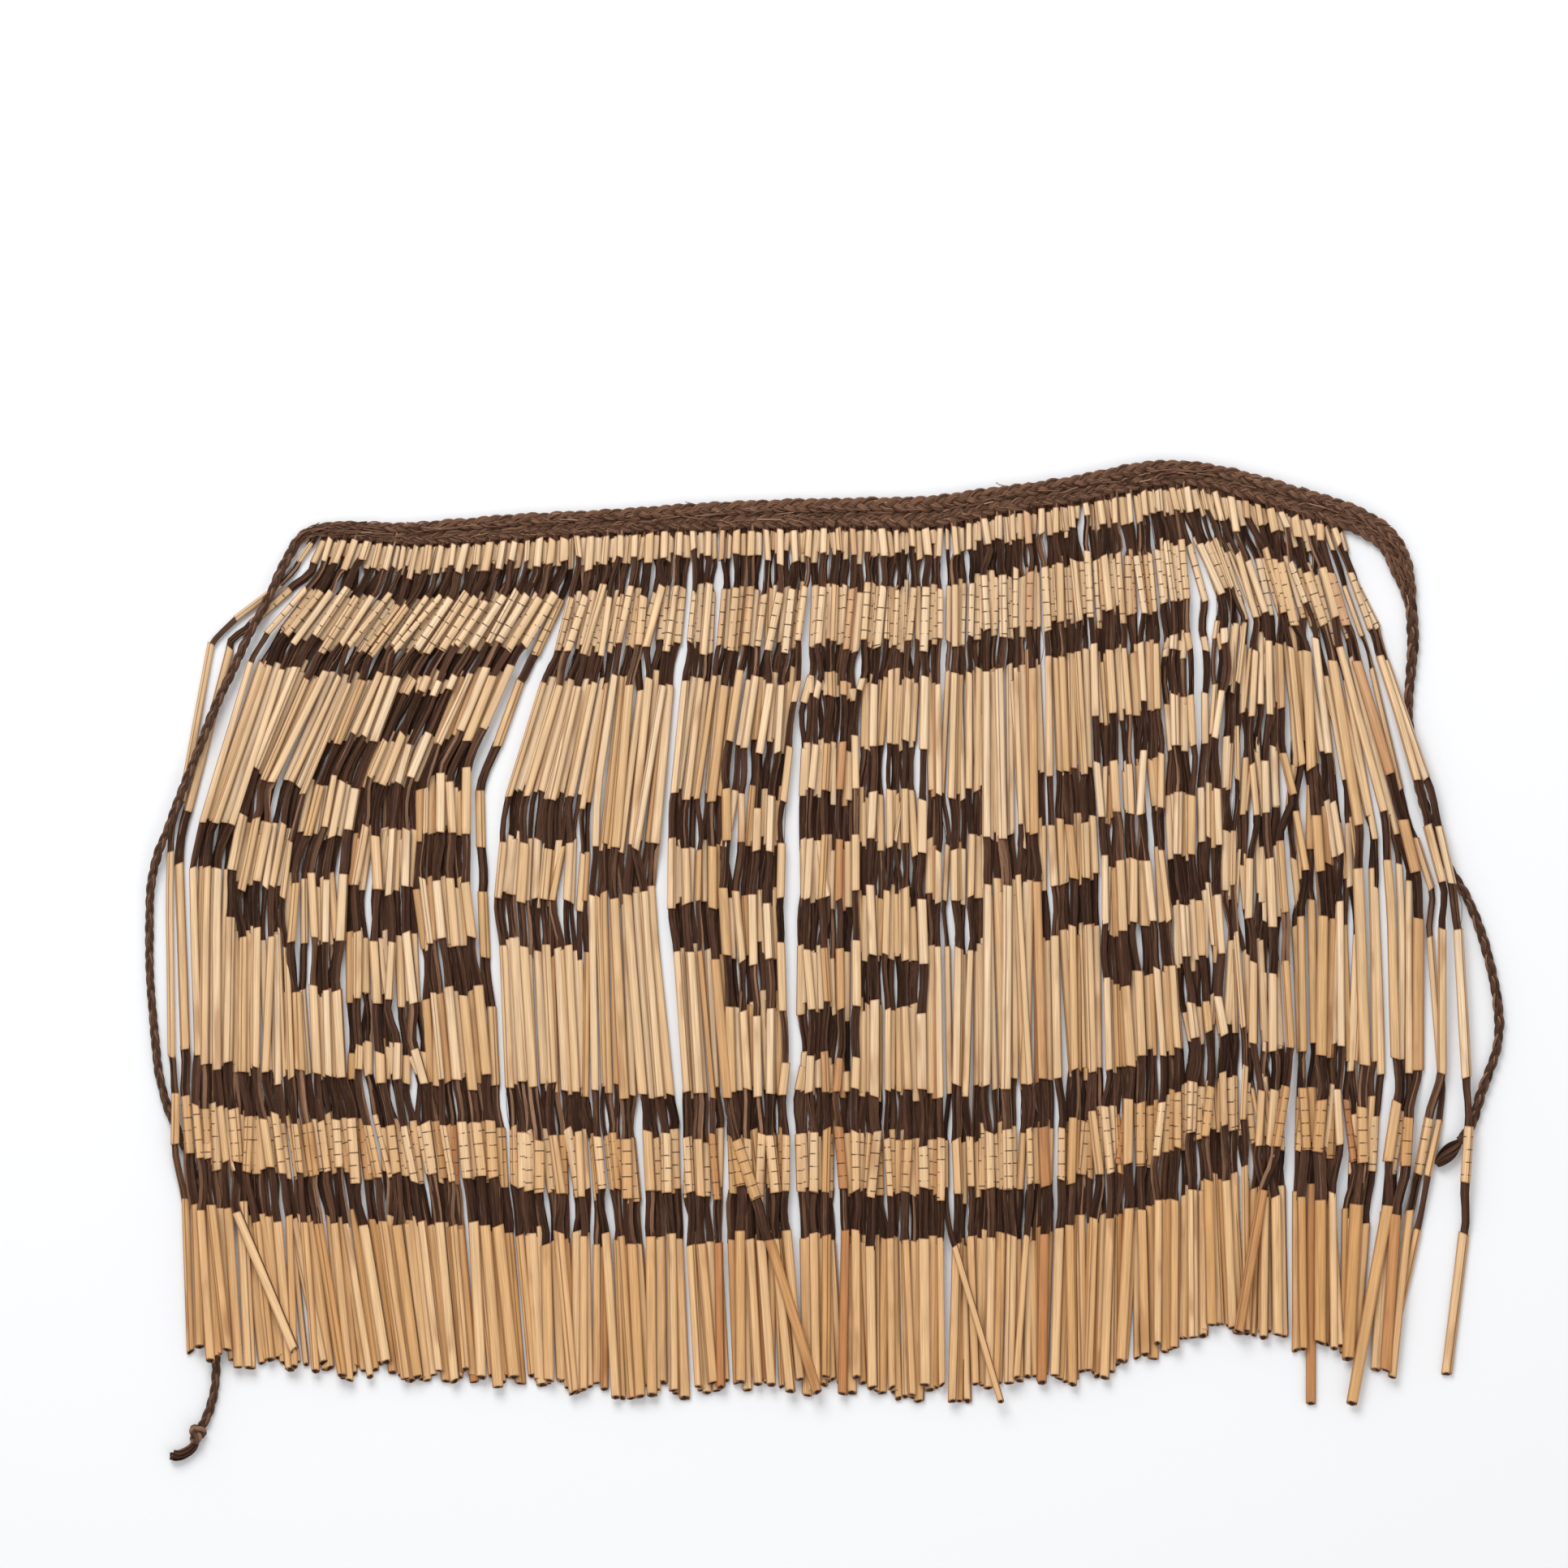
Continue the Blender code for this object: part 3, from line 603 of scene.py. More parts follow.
def plaitRopes(paths, points, halfWidths, form, luck):
    reached = measured(points)
    strands, ropes = form["strands"], form["ropes"]
    longRipple, shortRipple = [every * mm for every in ropeLay["ripples"]]
    for strand in range(strands):
        for rope in range(ropes):
            spread = (rope + 0.5) / ropes * 2 - 1   # -1 to 1 across the strand
            chance, drift = luck.random(), luck.uniform(0, math.tau)
            line, rows = [], []
            for index, point in enumerate(points):
                far, half = reached[index], halfWidths[index]
                size = half / form["half"]
                phase = math.tau * (far / form["period"] + strand / strands)
                swing = half - form["strandHalf"] * size
                slope = swing * math.tau / form["period"] * math.cos(phase)
                offset = spread * form["strandHalf"] * size * (1 - ropeLay["packed"] / ropes)
                ripple = math.sin(far / longRipple + drift)
                ripple += math.sin(far / shortRipple + ropeLay["ripplePhase"] * drift)
                offset += form["wander"] / 2 * ripple
                lean = math.sqrt(1 + slope * slope)
                across = sideways(points, index)
                onward = Vector((across.y, -across.x, 0.0))
                spot = point + across * (swing * math.sin(phase) + offset / lean)
                spot -= onward * (offset * slope / lean)
                weave = form["weave"] * size * math.sin((strands - 1) * phase)
                spot.z += weave + form["crown"] * size * (1 - spread * spread)
                line.append(spot)
                swell = 1 + ropeLay["swell"] * math.sin(far / (ropeLay["swellEvery"] * mm) + 2 * drift)
                high = form["ropeHigh"] * min(size * ropeLay["thickest"], 1)
                rows.append((form["ropeWide"] * size * swell, high, spread * ropeLay["roll"], far, chance))
            paths.add(line, rows)


# ties

ties = dict(
    left=dict(diameter=5.5, period=24.0, swell=1.1, swellLength=40.0, tail=2.6),
    right=dict(diameter=6.0, period=25.0, swell=1.24, swellLength=80.0, tail=0.3),
    lead=4.0, step=1.9, wander=0.3, lumps=0.06, lumpEvery=(11.0, 27.0), strands=3, ropes=3, corners=8)   # mm
# shares of the diameter
tieForm = dict(strandHalf=0.27, weave=0.17, crown=0.04, ropeWide=0.13, ropeHigh=0.21)
# x, y and height of each tie's middle, mm
leftTieRoute = (
    (-322.0, 237.6, 3.4), (-326.4, 229.5, 4.6), (-331.8, 218.0, 7.4), (-338.5, 203.0, 7.8),
    (-349.0, 183.0, 7.8), (-358.0, 163.5, 7.7), (-369.5, 138.0, 7.7), (-379.5, 113.0, 7.7),
    (-388.0, 91.0, 7.7), (-397.0, 67.5, 7.7), (-405.0, 45.5, 7.4), (-409.0, 23.5, 4.8),
    (-409.5, -4.5, 3.2), (-408.5, -34.5, 3.1), (-406.0, -62.0, 3.1), (-403.0, -87.0, 3.1),
    (-398.0, -107.0, 3.1), (-390.0, -125.0, 3.1), (-381.5, -146.0, 3.1), (-375.5, -175.0, 3.1),
    (-371.0, -210.0, 3.1), (-367.5, -245.0, 3.1), (-367.5, -274.0, 3.1), (-371.0, -293.0, 3.1),
    (-375.6, -302.6, 3.3))
rightTieRoute = (
    (367.9, 202.6, 3.5), (368.6, 193.0, 3.4), (369.0, 178.0, 3.3), (368.0, 163.0, 3.3), (366.4, 147.0, 3.3),
    (366.0, 130.0, 3.3), (368.0, 110.0, 3.3), (373.0, 88.0, 3.3), (380.5, 63.0, 3.3), (390.0, 41.0, 3.3),
    (401.0, 22.0, 3.3), (410.0, 0.0, 3.3), (416.5, -25.0, 3.3), (420.5, -49.5, 3.3), (419.5, -70.0, 3.3),
    (413.5, -88.0, 3.3), (408.0, -103.0, 3.3), (405.0, -114.5, 3.3), (401.0, -122.5, 3.4),
    (396.0, -128.0, 3.6))


def makeTie(name, route, tie, node):
    diameter = tie["diameter"] * mm
    points = laidOut(route, ties["step"])
    form = {part: diameter * share for part, share in tieForm.items()}
    form |= dict(strands=ties["strands"], ropes=ties["ropes"], half=diameter / 2)
    form |= dict(period=tie["period"] * mm, wander=ties["wander"] * mm)
    lead = points[0] + (points[0] - points[1]).normalized() * ties["lead"] * mm   # reaches into the waistband
    tail = points[-1] + (points[-1] - points[-2]).normalized() * tie["tail"] * mm   # and into the knot
    drawn = [lead, lead.lerp(points[0], 0.5), *points, tail]
    halfWidths = []
    for far in measured(drawn):
        swell = 1 + (tie["swell"] - 1) * smoothStep(1 - far / (tie["swellLength"] * mm))   # stouter at first
        short, long = [math.sin(far / (every * mm)) for every in ties["lumpEvery"]]
        halfWidths.append(diameter / 2 * swell * (1 + ties["lumps"] * short * long))
    paths = Paths(*ropeKinds)
    plaitRopes(paths, drawn, halfWidths, form, random.Random(name))
    piece = sweep(name, paths, ropeTree, {"Corners": ties["corners"]}, tieMaterial)
    return fitted(piece, node, "tie_fibre"), points


leftTie, leftTiePath = makeTie("tiePlaitLeft", leftTieRoute, ties["left"], "tie_left")
rightTie, rightTiePath = makeTie("tiePlaitRight", rightTieRoute, ties["right"], "tie_right")
print("ties made:", [round(measured(path)[-1], 4) for path in (leftTiePath, rightTiePath)])


# knots at the ends of the ties

overhand = dict(
    centre=(-378.6, -308.0, 4.9), size=(11.4, 13.6, 9.0), turn=-18.0, rope=2.25, plies=3, steps=96,
    low=0.16, tall=1.18, deep=0.8, twists=5, plyOut=0.42, plyFlat=0.7, plyHalf=0.62, corners=8,
    markEvery=0.5)   # mm, degrees, shares of the rope and the size
bulb = dict(
    centre=(389.6, -135.0, 4.2), size=(20.5, 10.6, 7.8), turn=45.5, fibres=46, steps=12, reach=1.08,
    ahead=0.02, neck=0.25, roundness=0.8, twist=1.3, skin=0.4, inmost=0.3, wide=0.75, high=0.4,
    corners=5)   # mm, degrees, shares
knotBelow = dict(centre=(389.7, -133.5, 4.2), size=(16.4, 9.0, 7.6), turn=41.0)   # what the strands rest on
tuft = dict(
    route=((-379.4, -311.6, 4.2), (-380.6, -314.8, 3.9), (-384.0, -318.0, 3.8), (-389.5, -320.6, 3.8),
           (-395.0, -320.2, 3.9)),
    diameter=6.0, fibres=34, step=2.0, shortest=0.86, tight=0.75, opens=0.4, flat=0.8, wide=0.55,
    high=0.3, corners=4, seed=21)   # mm, shares


def makeKnot(name, knot, node):   # an overhand knot is a trefoil pulled tight
    turn = math.radians(knot["turn"])
    cosine, sine = math.cos(turn), math.sin(turn)
    rope = knot["rope"] * mm
    wide, tall, deep = [size * mm / 2 - rope for size in knot["size"]]
    middle = place(*knot["centre"])
    paths = Paths(*ropeKinds)
    luck = random.Random(name)
    for ply in range(knot["plies"]):
        line, rows = [], []
        chance = luck.random()
        for index in range(knot["steps"] + 1):
            t = math.tau * index / knot["steps"]
            x = (math.sin(t) + 2 * math.sin(2 * t)) / 3 * wide
            y = ((math.cos(t) - 2 * math.cos(2 * t)) / 3 + knot["low"]) * knot["tall"] * tall
            z = -math.sin(3 * t) * deep * knot["deep"]
            lay = ply * math.tau / knot["plies"] + t * knot["twists"]
            x += rope * knot["plyOut"] * math.cos(lay)
            z += rope * knot["plyOut"] * math.sin(lay) * knot["plyFlat"]
            line.append(middle + Vector((x * cosine - y * sine, x * sine + y * cosine, z)))
            half = rope * knot["plyHalf"]
            rows.append((half, half, 0.0, index * knot["markEvery"] * mm, chance))
        paths.add(line, rows)
    piece = sweep(name, paths, ropeTree, {"Corners": knot["corners"]}, tieMaterial)
    return fitted(piece, node, "tie_fibre")


def makeBulb(name, knot, node):   # the tie's end turned back and bound into a leaf-shaped bundle
    run = turned(knot["turn"])
    side = Vector((-run.y, run.x, 0.0))
    length, wide, high = [size * mm for size in knot["size"]]
    skin = knot["skin"] * mm
    middle = place(*knot["centre"])
    paths = Paths(*ropeKinds)
    luck = random.Random(name)
    for _ in range(knot["fibres"]):
        start, out = luck.uniform(0, math.tau), math.sqrt(luck.uniform(knot["inmost"], 1.0))
        chance = luck.random()
        line, rows = [], []
        for step in range(knot["steps"] + 1):
            share = step / knot["steps"]
            onward = min(share * knot["reach"] + knot["ahead"], 1.0)
            belly = math.sin(math.pi * onward) ** knot["roundness"]
            swell = (knot["neck"] + (1 - knot["neck"]) * belly) * out
            angle = start + share * knot["twist"]
            spot = middle + run * (share - 0.5) * length * knot["reach"]
            spot += side * math.cos(angle) * (wide / 2 - skin) * swell
            spot.z += math.sin(angle) * (high / 2 - skin) * swell
            line.append(spot)
            rows.append((knot["wide"] * mm, knot["high"] * mm, angle + math.pi / 2, share * length, chance))
        paths.add(line, rows)
    piece = sweep(name, paths, ropeTree, {"Corners": knot["corners"]}, fibreMaterial)
    return fitted(piece, node, "tie_fibre")


def makeTuft():
    luck = random.Random(tuft["seed"])
    middle = laidOut(tuft["route"], tuft["step"])
    paths = Paths(*ropeKinds)
    radius = tuft["diameter"] * mm / 2
    for _ in range(tuft["fibres"]):
        turn, out = luck.uniform(0, math.tau), math.sqrt(luck.random())
        chance, cut = luck.random(), luck.uniform(tuft["shortest"], 1.0)
        last = round((len(middle) - 1) * cut)
        line, rows = [], []
        for index in range(last + 1):
            share = index / (len(middle) - 1)
            spread = radius * out * (tuft["tight"] + tuft["opens"] * share)
            spot = middle[index] + sideways(middle, index) * math.cos(turn + share) * spread
            spot.z += math.sin(turn + share) * spread * tuft["flat"]
            line.append(spot)
            far = index * tuft["step"] * mm
            rows.append((tuft["wide"] * mm, tuft["high"] * mm, turn + share * 2, far, chance))
        paths.add(line, rows)
    piece = sweep("tuftLeft", paths, ropeTree, {"Corners": tuft["corners"]}, fibreMaterial)
    return fitted(piece, "tuft_left", "tie_fibre")


knotLeft = makeKnot("knotLeft", overhand, "knot_left")
knotRight = makeBulb("boundEndRight", bulb, "knot_right")
tuftLeft = makeTuft()
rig.cord(leftTie, exit=leftTiePath[0], length=measured(leftTiePath)[-1],
        diameter=ties["left"]["diameter"] * mm, far_end="knot", stiffness="limp", lay="loose",
        path=leftTiePath, with_pieces=[knotLeft, tuftLeft])
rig.cord(rightTie, exit=rightTiePath[0], length=measured(rightTiePath)[-1],
        diameter=ties["right"]["diameter"] * mm, far_end="knot", stiffness="limp", lay="loose",
        path=rightTiePath, with_pieces=[knotRight])
print("knots made")


# waistband

band = dict(
    thickness=8.4, endThickness=3.2, step=6.0, fineStep=1.9, strands=3, ropes=4, period=22.5, strandHalf=2.1,
    plaitHalf=4.7, weave=1.25, crown=0.3, ropeWide=0.8, ropeHigh=1.25, rimLift=0.5, wander=0.45,
    spread=0.25, plaitShare=0.275, overlap=2, corners=6, seed=5)   # mm, shares and points
looseEnds = dict(
    count=520, length=(5.0, 15.0), out=0.46, lean=0.16, wide=(0.2, 0.42), high=0.22, lift=(-0.3, 0.35),
    level=0.84, round=0.35, dip=0.15, steps=4, seed=9)   # mm, shares
# x, y and width of the waistband's middle, mm
bandSections = (
    (-321.0, 239.5, 5.8), (-316.0, 244.8, 6.6), (-309.5, 247.6, 7.6), (-299.5, 248.8, 9.0),
    (-284.0, 248.6, 10.6), (-250.0, 246.6, 13.0), (-211.5, 248.7, 15.0), (-173.0, 251.5, 15.0),
    (-122.0, 254.2, 14.5), (-94.5, 256.0, 15.5), (-37.0, 258.2, 17.4), (20.0, 259.5, 18.0),
    (63.0, 259.5, 19.2), (88.0, 262.5, 18.6), (116.0, 267.5, 16.6), (148.0, 272.0, 16.0),
    (173.0, 276.5, 16.4), (199.5, 282.0, 16.6), (218.0, 284.0, 15.2), (238.0, 283.2, 14.8),
    (266.5, 276.4, 16.0), (295.0, 268.2, 16.0), (320.5, 260.0, 16.4), (340.5, 252.0, 16.0),
    (354.5, 241.0, 15.0), (361.5, 227.0, 14.2), (365.5, 214.5, 10.2), (367.5, 203.0, 7.0))


def bandMiddle(step):   # points with the width as a fourth number
    drawn = []
    for x, y, width in bandSections:
        spot = place(x, y)
        drawn.append((spot.x, spot.y, 0.0, width * mm))
    return smoothCurve(drawn, step * mm)


def bandThickness(width):
    return min(band["thickness"] * mm, band["endThickness"] * mm + width / 2)


def addLooseEnds(paths, flat, widths, luck):   # short fibres that lie along the plaits
    reached = measured(flat)
    for _ in range(looseEnds["count"]):
        length = luck.uniform(*looseEnds["length"]) * mm
        start = luck.uniform(0, reached[-1] - length)
        out, lean = luck.uniform(-looseEnds["out"], looseEnds["out"]), luck.gauss(0, looseEnds["lean"])
        chance = luck.random()
        wide, lift = luck.uniform(*looseEnds["wide"]) * mm, luck.uniform(*looseEnds["lift"]) * mm
        line, rows = [], []
        for step in range(looseEnds["steps"] + 1):
            far = start + length * step / looseEnds["steps"]
            index = min(bisect.bisect_right(reached, far), len(flat) - 1)
            across = out * widths[index] + lean * (far - start - length / 2)
            spot = flat[index] + sideways(flat, index) * across
            crown = 1 - (2 * out) ** 2 * looseEnds["round"]
            dip = abs(step - looseEnds["steps"] / 2) * looseEnds["dip"] * mm
            spot.z = bandThickness(widths[index]) * looseEnds["level"] * crown + lift - dip
            line.append(spot)
            rows.append((wide, looseEnds["high"] * mm, 0.0, far, chance))
        paths.add(line, rows)


def makeWaistband():   # a plait that holds the strands' roots and a second one, the rim, beside it
    middle = bandMiddle(band["fineStep"])
    form = dict(strands=band["strands"], ropes=band["ropes"], half=band["plaitHalf"] * mm)
    for part in ("period", "strandHalf", "weave", "crown", "wander", "ropeWide", "ropeHigh"):
        form[part] = band[part] * mm
    paths = Paths(*ropeKinds)
    over = band["overlap"]
    drawn = [middle[0] + (middle[0] - middle[1]) * (over - step) for step in range(over)] + middle
    drawn += [middle[-1] + (middle[-1] - middle[-2]) * (step + 1) for step in range(over)]
    flat = [point.to_3d() for point in drawn]
    halfWidths = [point[3] * band["plaitShare"] for point in drawn]
    for way in (-1, 1):
        points = []
        for index, point in enumerate(drawn):
            spot = flat[index] + sideways(flat, index) * way * point[3] * band["spread"]
            spot.z = bandThickness(point[3]) / 2 + way * band["rimLift"] * mm / 2
            points.append(spot)
        plaitRopes(paths, points, halfWidths, form, random.Random(band["seed"] + way))
    addLooseEnds(paths, flat, [point[3] for point in drawn], random.Random(looseEnds["seed"]))
    piece = sweep("waistbandPlait", paths, ropeTree, {"Corners": band["corners"]}, plaitMaterial)
    return fitted(piece, "waistband", "plaited_fibre"), middle


waistbandPlait, bandLine = makeWaistband()
print("waistband made")


# the lay of the strands, as in the solids

strandPlan = dict(
    count=150, length=523.0, lengthSpread=6.0, width=5.8, widthSpread=0.6, height=3.8, layer=4.1, gap=0.4,
    firstX=-310.0, lastX=324.0, lowEdge=2, sway=3.4, seed=11, stripWidth=2.4, groups=6,
    tieOnFloor=3.38, liftMargin=1.5, liftChecks=16, sways=(0.6, 2.4), step=2.0, partings=12, overKnot=0.6,
    overTie=0.3, tieCheck=3, straySlack=0.01)   # mm, shares, counts; tieCheck in diameters
# from this strand on, share of the common spacing
spacings = ((0, 1.60), (1, 0.85), (42, 1.00), (133, 0.88))
# share of the way along the roots, how much longer the strands are there
lengths = (
    (0.00, 6.0), (0.02, -2.0), (0.054, 0.5), (0.10, 3.0), (0.16, 4.5), (0.20, 7.5), (0.2456, 11.5),
    (0.2576, 7.0), (0.30, 5.5), (0.38, 8.0), (0.46, 5.0), (0.55, 4.0), (0.61, 10.0), (0.68, 14.0),
    (0.74, 12.0), (0.79, 7.0), (0.82, -1.0), (0.86, -3.0), (0.93, -3.5), (0.96, 0.0), (0.98, 7.0),
    (1.00, 14.0))
depths = (0, 30, 60, 100, 140, 190, 240, 290, 370, 510)
# share of the way along the roots, then the sideways drift at each depth
drifts = (
    (0.0000, (0, -23, -61, -70, -79, -88, -89, -87, -80, -72)),
    (0.0113, (0, -20, -55, -69, -79, -88, -88, -86, -80, -74)),
    (0.0173, (0, -14, -39, -57, -71, -82, -84, -83, -79, -72)),
    (0.0293, (0, -12, -36, -55, -70, -81, -85, -84, -80, -70)),
    (0.0543, (0, -13, -34, -53, -70, -82, -86, -86, -79, -66)),
    (0.1014, (0, -8, -29, -49, -66, -79, -84, -83, -74, -57)),
    (0.1495, (0, -8, -28, -50, -66, -74, -81, -80, -67, -48)),
    (0.1975, (0, -6, -24, -46, -63, -68, -69, -65, -54, -38)),
    (0.2035, (0, -6, -24, -45, -60, -64, -62, -58, -50, -37)),
    (0.2456, (0, -3, -21, -45, -62, -63, -56, -50, -43, -31)),
    (0.2516, (0, -3, -16, -37, -53, -58, -53, -48, -41, -29)),
    (0.2576, (0, -1, -8, -25, -37, -48, -47, -43, -36, -27)),
    (0.3000, (0, -4, -11, -17, -27, -32, -33, -30, -26, -20)),
    (0.3283, (0, -2, -6, -12, -16, -19, -20, -19, -14, -7)),
    (0.3636, (0, -1, -5, -10, -19, -22, -22, -16, -8, 0)),
    (0.3707, (0, 0, -1, -5, -9, -14, -12, -6, -3, 3)),
    (0.4272, (0, -1, -3, -8, -12, -19, -17, -12, -9, -5)),
    (0.4838, (0, -1, -3, -9, -13, -17, -18, -17, -14, -9)),
    (0.4908, (0, -1, -2, -5, -8, -9, -9, -10, -10, -6)),
    (0.5332, (0, 0, -2, -5, -7, -8, -8, -8, -8, -7)),
    (0.7590, (0, 2, 4, 6, 8, 10, 12, 14, 15, 12)),
    (0.8050, (0, 3, 6, 8, 9, 11, 13, 16, 18, 18)),
    (0.8371, (0, 5, 9, 10, 11, 13, 15, 18, 20, 21)),
    (0.8442, (0, 8, 21, 24, 20, 18, 18, 20, 22, 23)),
    (0.8800, (0, 8, 20, 24, 23, 21, 21, 23, 25, 26)),
    (0.9100, (0, 8, 19, 23, 24, 24, 25, 26, 27, 27)),
    (0.9382, (0, 6, 14, 20, 24, 29, 33, 34, 33, 29)),
    (0.9814, (0, 6, 15, 29, 40, 53, 60, 61, 54, 33)),
    (0.9876, (0, 7, 17, 31, 42, 54, 66, 68, 66, 35)),
    (0.9938, (0, 10, 22, 36, 47, 59, 68, 71, 58, 34)),
    (1.0000, (0, 10, 22, 34, 48, 63, 67, 69, 79, 63)))
rings = (-0.6, 15.5, 25.5, 35.0, 71.0, 81.0, 91.0, 160.0, 225.0, 343.0, 356.0, 369.0, 404.0, 417.5, 431.5)
longEnds = {137: 41.0, 144: 28.0, 147: 4.0}   # strand: how much longer it is
strays = {7: (431.5, 26.0), 64: (356.0, 52.0), 93: (417.5, 30.0), 134: (343.0, -34.0)}   # strand: from, shift


def headingLine():
    middle = bandMiddle(band["step"])
    flat = [point.to_3d() for point in middle]
    away = (layout["seam"] + strandPlan["stripWidth"] / 2) * mm
    return [flat[index] - sideways(flat, index) * (point[3] / 2 + away) for index, point in enumerate(middle)]


def atX(line, x):
    for near, far in zip(line, line[1:]):
        if near.x <= x <= far.x:
            return near.lerp(far, (x - near.x) / (far.x - near.x))
    raise ValueError("no point of the line is at this x")


def rootPositions():
    plan = strandPlan
    steps = [[share for first, share in spacings if first <= index][-1] for index in range(plan["count"] - 1)]
    shares = [sum(steps[:index]) / sum(steps) for index in range(plan["count"])]
    reach = plan["lastX"] - plan["firstX"]
    return [(plan["firstX"] + reach * share - layout["centreX"]) * mm for share in shares], shares


def rowAbove(starts, value):   # the first row past the value, never the very first of all
    return min(max(bisect.bisect_right(starts, value), 1), len(starts) - 1)


def between(rows, share):   # the value of a table of (share, value) rows here
    upper = rowAbove([row[0] for row in rows], share)
    low, high = rows[upper - 1], rows[upper]
    return low[1] + (high[1] - low[1]) * (share - low[0]) / (high[0] - low[0])


def driftAt(share, depth):   # a smooth curve down the strand, between the two nearest rows
    starts = [row[0] for row in drifts]
    upper = rowAbove(starts, share)
    mix = (share - starts[upper - 1]) / (starts[upper] - starts[upper - 1])
    column = rowAbove(depths, depth / mm)
    t = (depth / mm - depths[column - 1]) / (depths[column] - depths[column - 1])
    shifts = [(1 - mix) * low + mix * high for low, high in zip(drifts[upper - 1][1], drifts[upper][1])]
    before, start, end = shifts[max(column - 2, 0)], shifts[column - 1], shifts[column]
    after = shifts[min(column + 1, len(shifts) - 1)]
    slopes = (t**3 - 2 * t**2 + t) * (end - before) / 2 + (t**3 - t**2) * (after - start) / 2
    return ((2 * t**3 - 3 * t**2 + 1) * start + (3 * t**2 - 2 * t**3) * end + slopes) * mm


class Strand:
    def __init__(self, index, share, root, luck):
        self.index = index
        self.share = share
        self.root = root
        self.width = (strandPlan["width"] + strandPlan["widthSpread"] * luck.uniform(-1, 1)) * mm
        common = strandPlan["length"] + between(lengths, share)
        self.stretch = common / strandPlan["length"]
        self.length = (common + strandPlan["lengthSpread"] * luck.uniform(-1, 1)) * mm
        self.length += longEnds.get(index, 0.0) * mm
        self.sways = [(luck.uniform(*strandPlan["sways"]), luck.uniform(0, math.tau)) for _ in range(2)]
        self.raised = index % 2 == 0 and index >= strandPlan["lowEdge"]
        self.strayFrom, self.strayShift = strays.get(index, (0.0, 0.0))
        self.strayFrom *= self.stretch
        fine, reached = self.path()
        self.distances = [row * mm * self.stretch for row in rings] + [self.length]
        self.plan = [along(fine, reached, max(far, 0.0)) for far in self.distances]
        self.plan[0] = self.root.copy()
        self.lift = [0.0] * len(self.plan)

    def path(self):
        points, reached, depth = [self.root.copy()], [0.0], 0.0
        whole = strandPlan["length"] * mm
        while reached[-1] < self.length:
            depth += strandPlan["step"] * mm
            sway = sum(math.sin(rate * math.tau * depth / whole + turn) for rate, turn in self.sways)
            sway *= smoothStep(depth / whole) * strandPlan["sway"] * mm / 2
            x = self.root.x + driftAt(self.share, depth) + sway
            points.append(Vector((x, self.root.y - depth, 0.0)))
            reached.append(reached[-1] + (points[-1] - points[-2]).length)
        return points, reached

    def squareness(self, ring):
        run = self.plan[min(ring + 1, len(self.plan) - 1)] - self.plan[max(ring - 1, 0)]
        return abs(run.y) / run.length

    def spot(self, far):   # the middle of the strand at this distance from its root
        ring = rowAbove(self.distances, far)
        low, high = self.distances[ring - 1], self.distances[ring]
        mix = min((far - low) / (high - low), 1.0)
        base = self.plan[ring - 1].lerp(self.plan[ring], mix)
        mix = max(mix, 0.0)
        lift = self.lift[ring - 1] * (1 - mix) + self.lift[ring] * mix
        return Vector((base.x, base.y, (layout["floorGap"] + strandPlan["height"] / 2) * mm + lift))


def partNeighbours(strands):   # strands of one layer lie side by side
    for layer in (False, True):
        row = [strand for strand in strands if strand.raised == layer and not strand.strayShift]
        for ring in range(1, len(rings) + 1):
            for _ in range(strandPlan["partings"]):
                for left, right in zip(row, row[1:]):
                    needed = (left.width + right.width) / 2 + strandPlan["gap"] * mm
                    needed /= min(left.squareness(ring), right.squareness(ring))
                    short = needed - (right.plan[ring].x - left.plan[ring].x)
                    if short > 0:
                        left.plan[ring].x -= short / 2
                        right.plan[ring].x += short / 2


def isCrowded(strand, ring, low):
    for other in low:
        needed = (strand.width + other.width) / 2 + strandPlan["gap"] * mm
        apart = abs(strand.plan[ring].x - other.plan[ring].x)
        if apart * min(strand.squareness(ring), other.squareness(ring)) < needed:
            return True
    return False


def liftOver(strand, ring, lying):   # how far this stretch rises over a tie or the bound end
    start, end = strand.plan[ring], strand.plan[ring + 1]
    needed = 0.0
    for width, top, route in lying:
        clear = (strand.width + width) / 2 + (strandPlan["gap"] + strandPlan["liftMargin"]) * mm
        for step in range(strandPlan["liftChecks"] + 1):
            spot = start.lerp(end, step / strandPlan["liftChecks"])
            for point in route:
                low = point.z < strandPlan["tieOnFloor"] * mm
                if low and (point.to_2d() - spot.to_2d()).length < clear:
                    needed = max(needed, top)
    return needed


def settle(strands, lying):
    low = [strand for strand in strands if not strand.raised]
    for strand in strands:
        count = len(strand.plan)
        if strand.raised:
            crowded = [isCrowded(strand, ring, low) for ring in range(count)]
            crowded[0] = crowded[1] = crowded[0] or crowded[1]
            for ring in range(count):
                if any(crowded[max(ring - 1, 0):ring + 2]):
                    strand.lift[ring] = strandPlan["layer"] * mm
        near = [liftOver(strand, ring, lying) for ring in range(count - 1)]
        for ring in range(1, count):
            strand.lift[ring] += max(near[max(ring - 1, 0):ring + 1], default=0.0)
        if strand.strayShift:
            for ring, distance in enumerate(strand.distances):
                past = distance / mm - strand.strayFrom
                if past > -strandPlan["straySlack"]:
                    share = past / (strand.length / mm - strand.strayFrom)
                    strand.plan[ring].x += strand.strayShift * mm * share
                    strand.lift[ring] = max(strand.lift[ring], 2 * strandPlan["layer"] * mm)


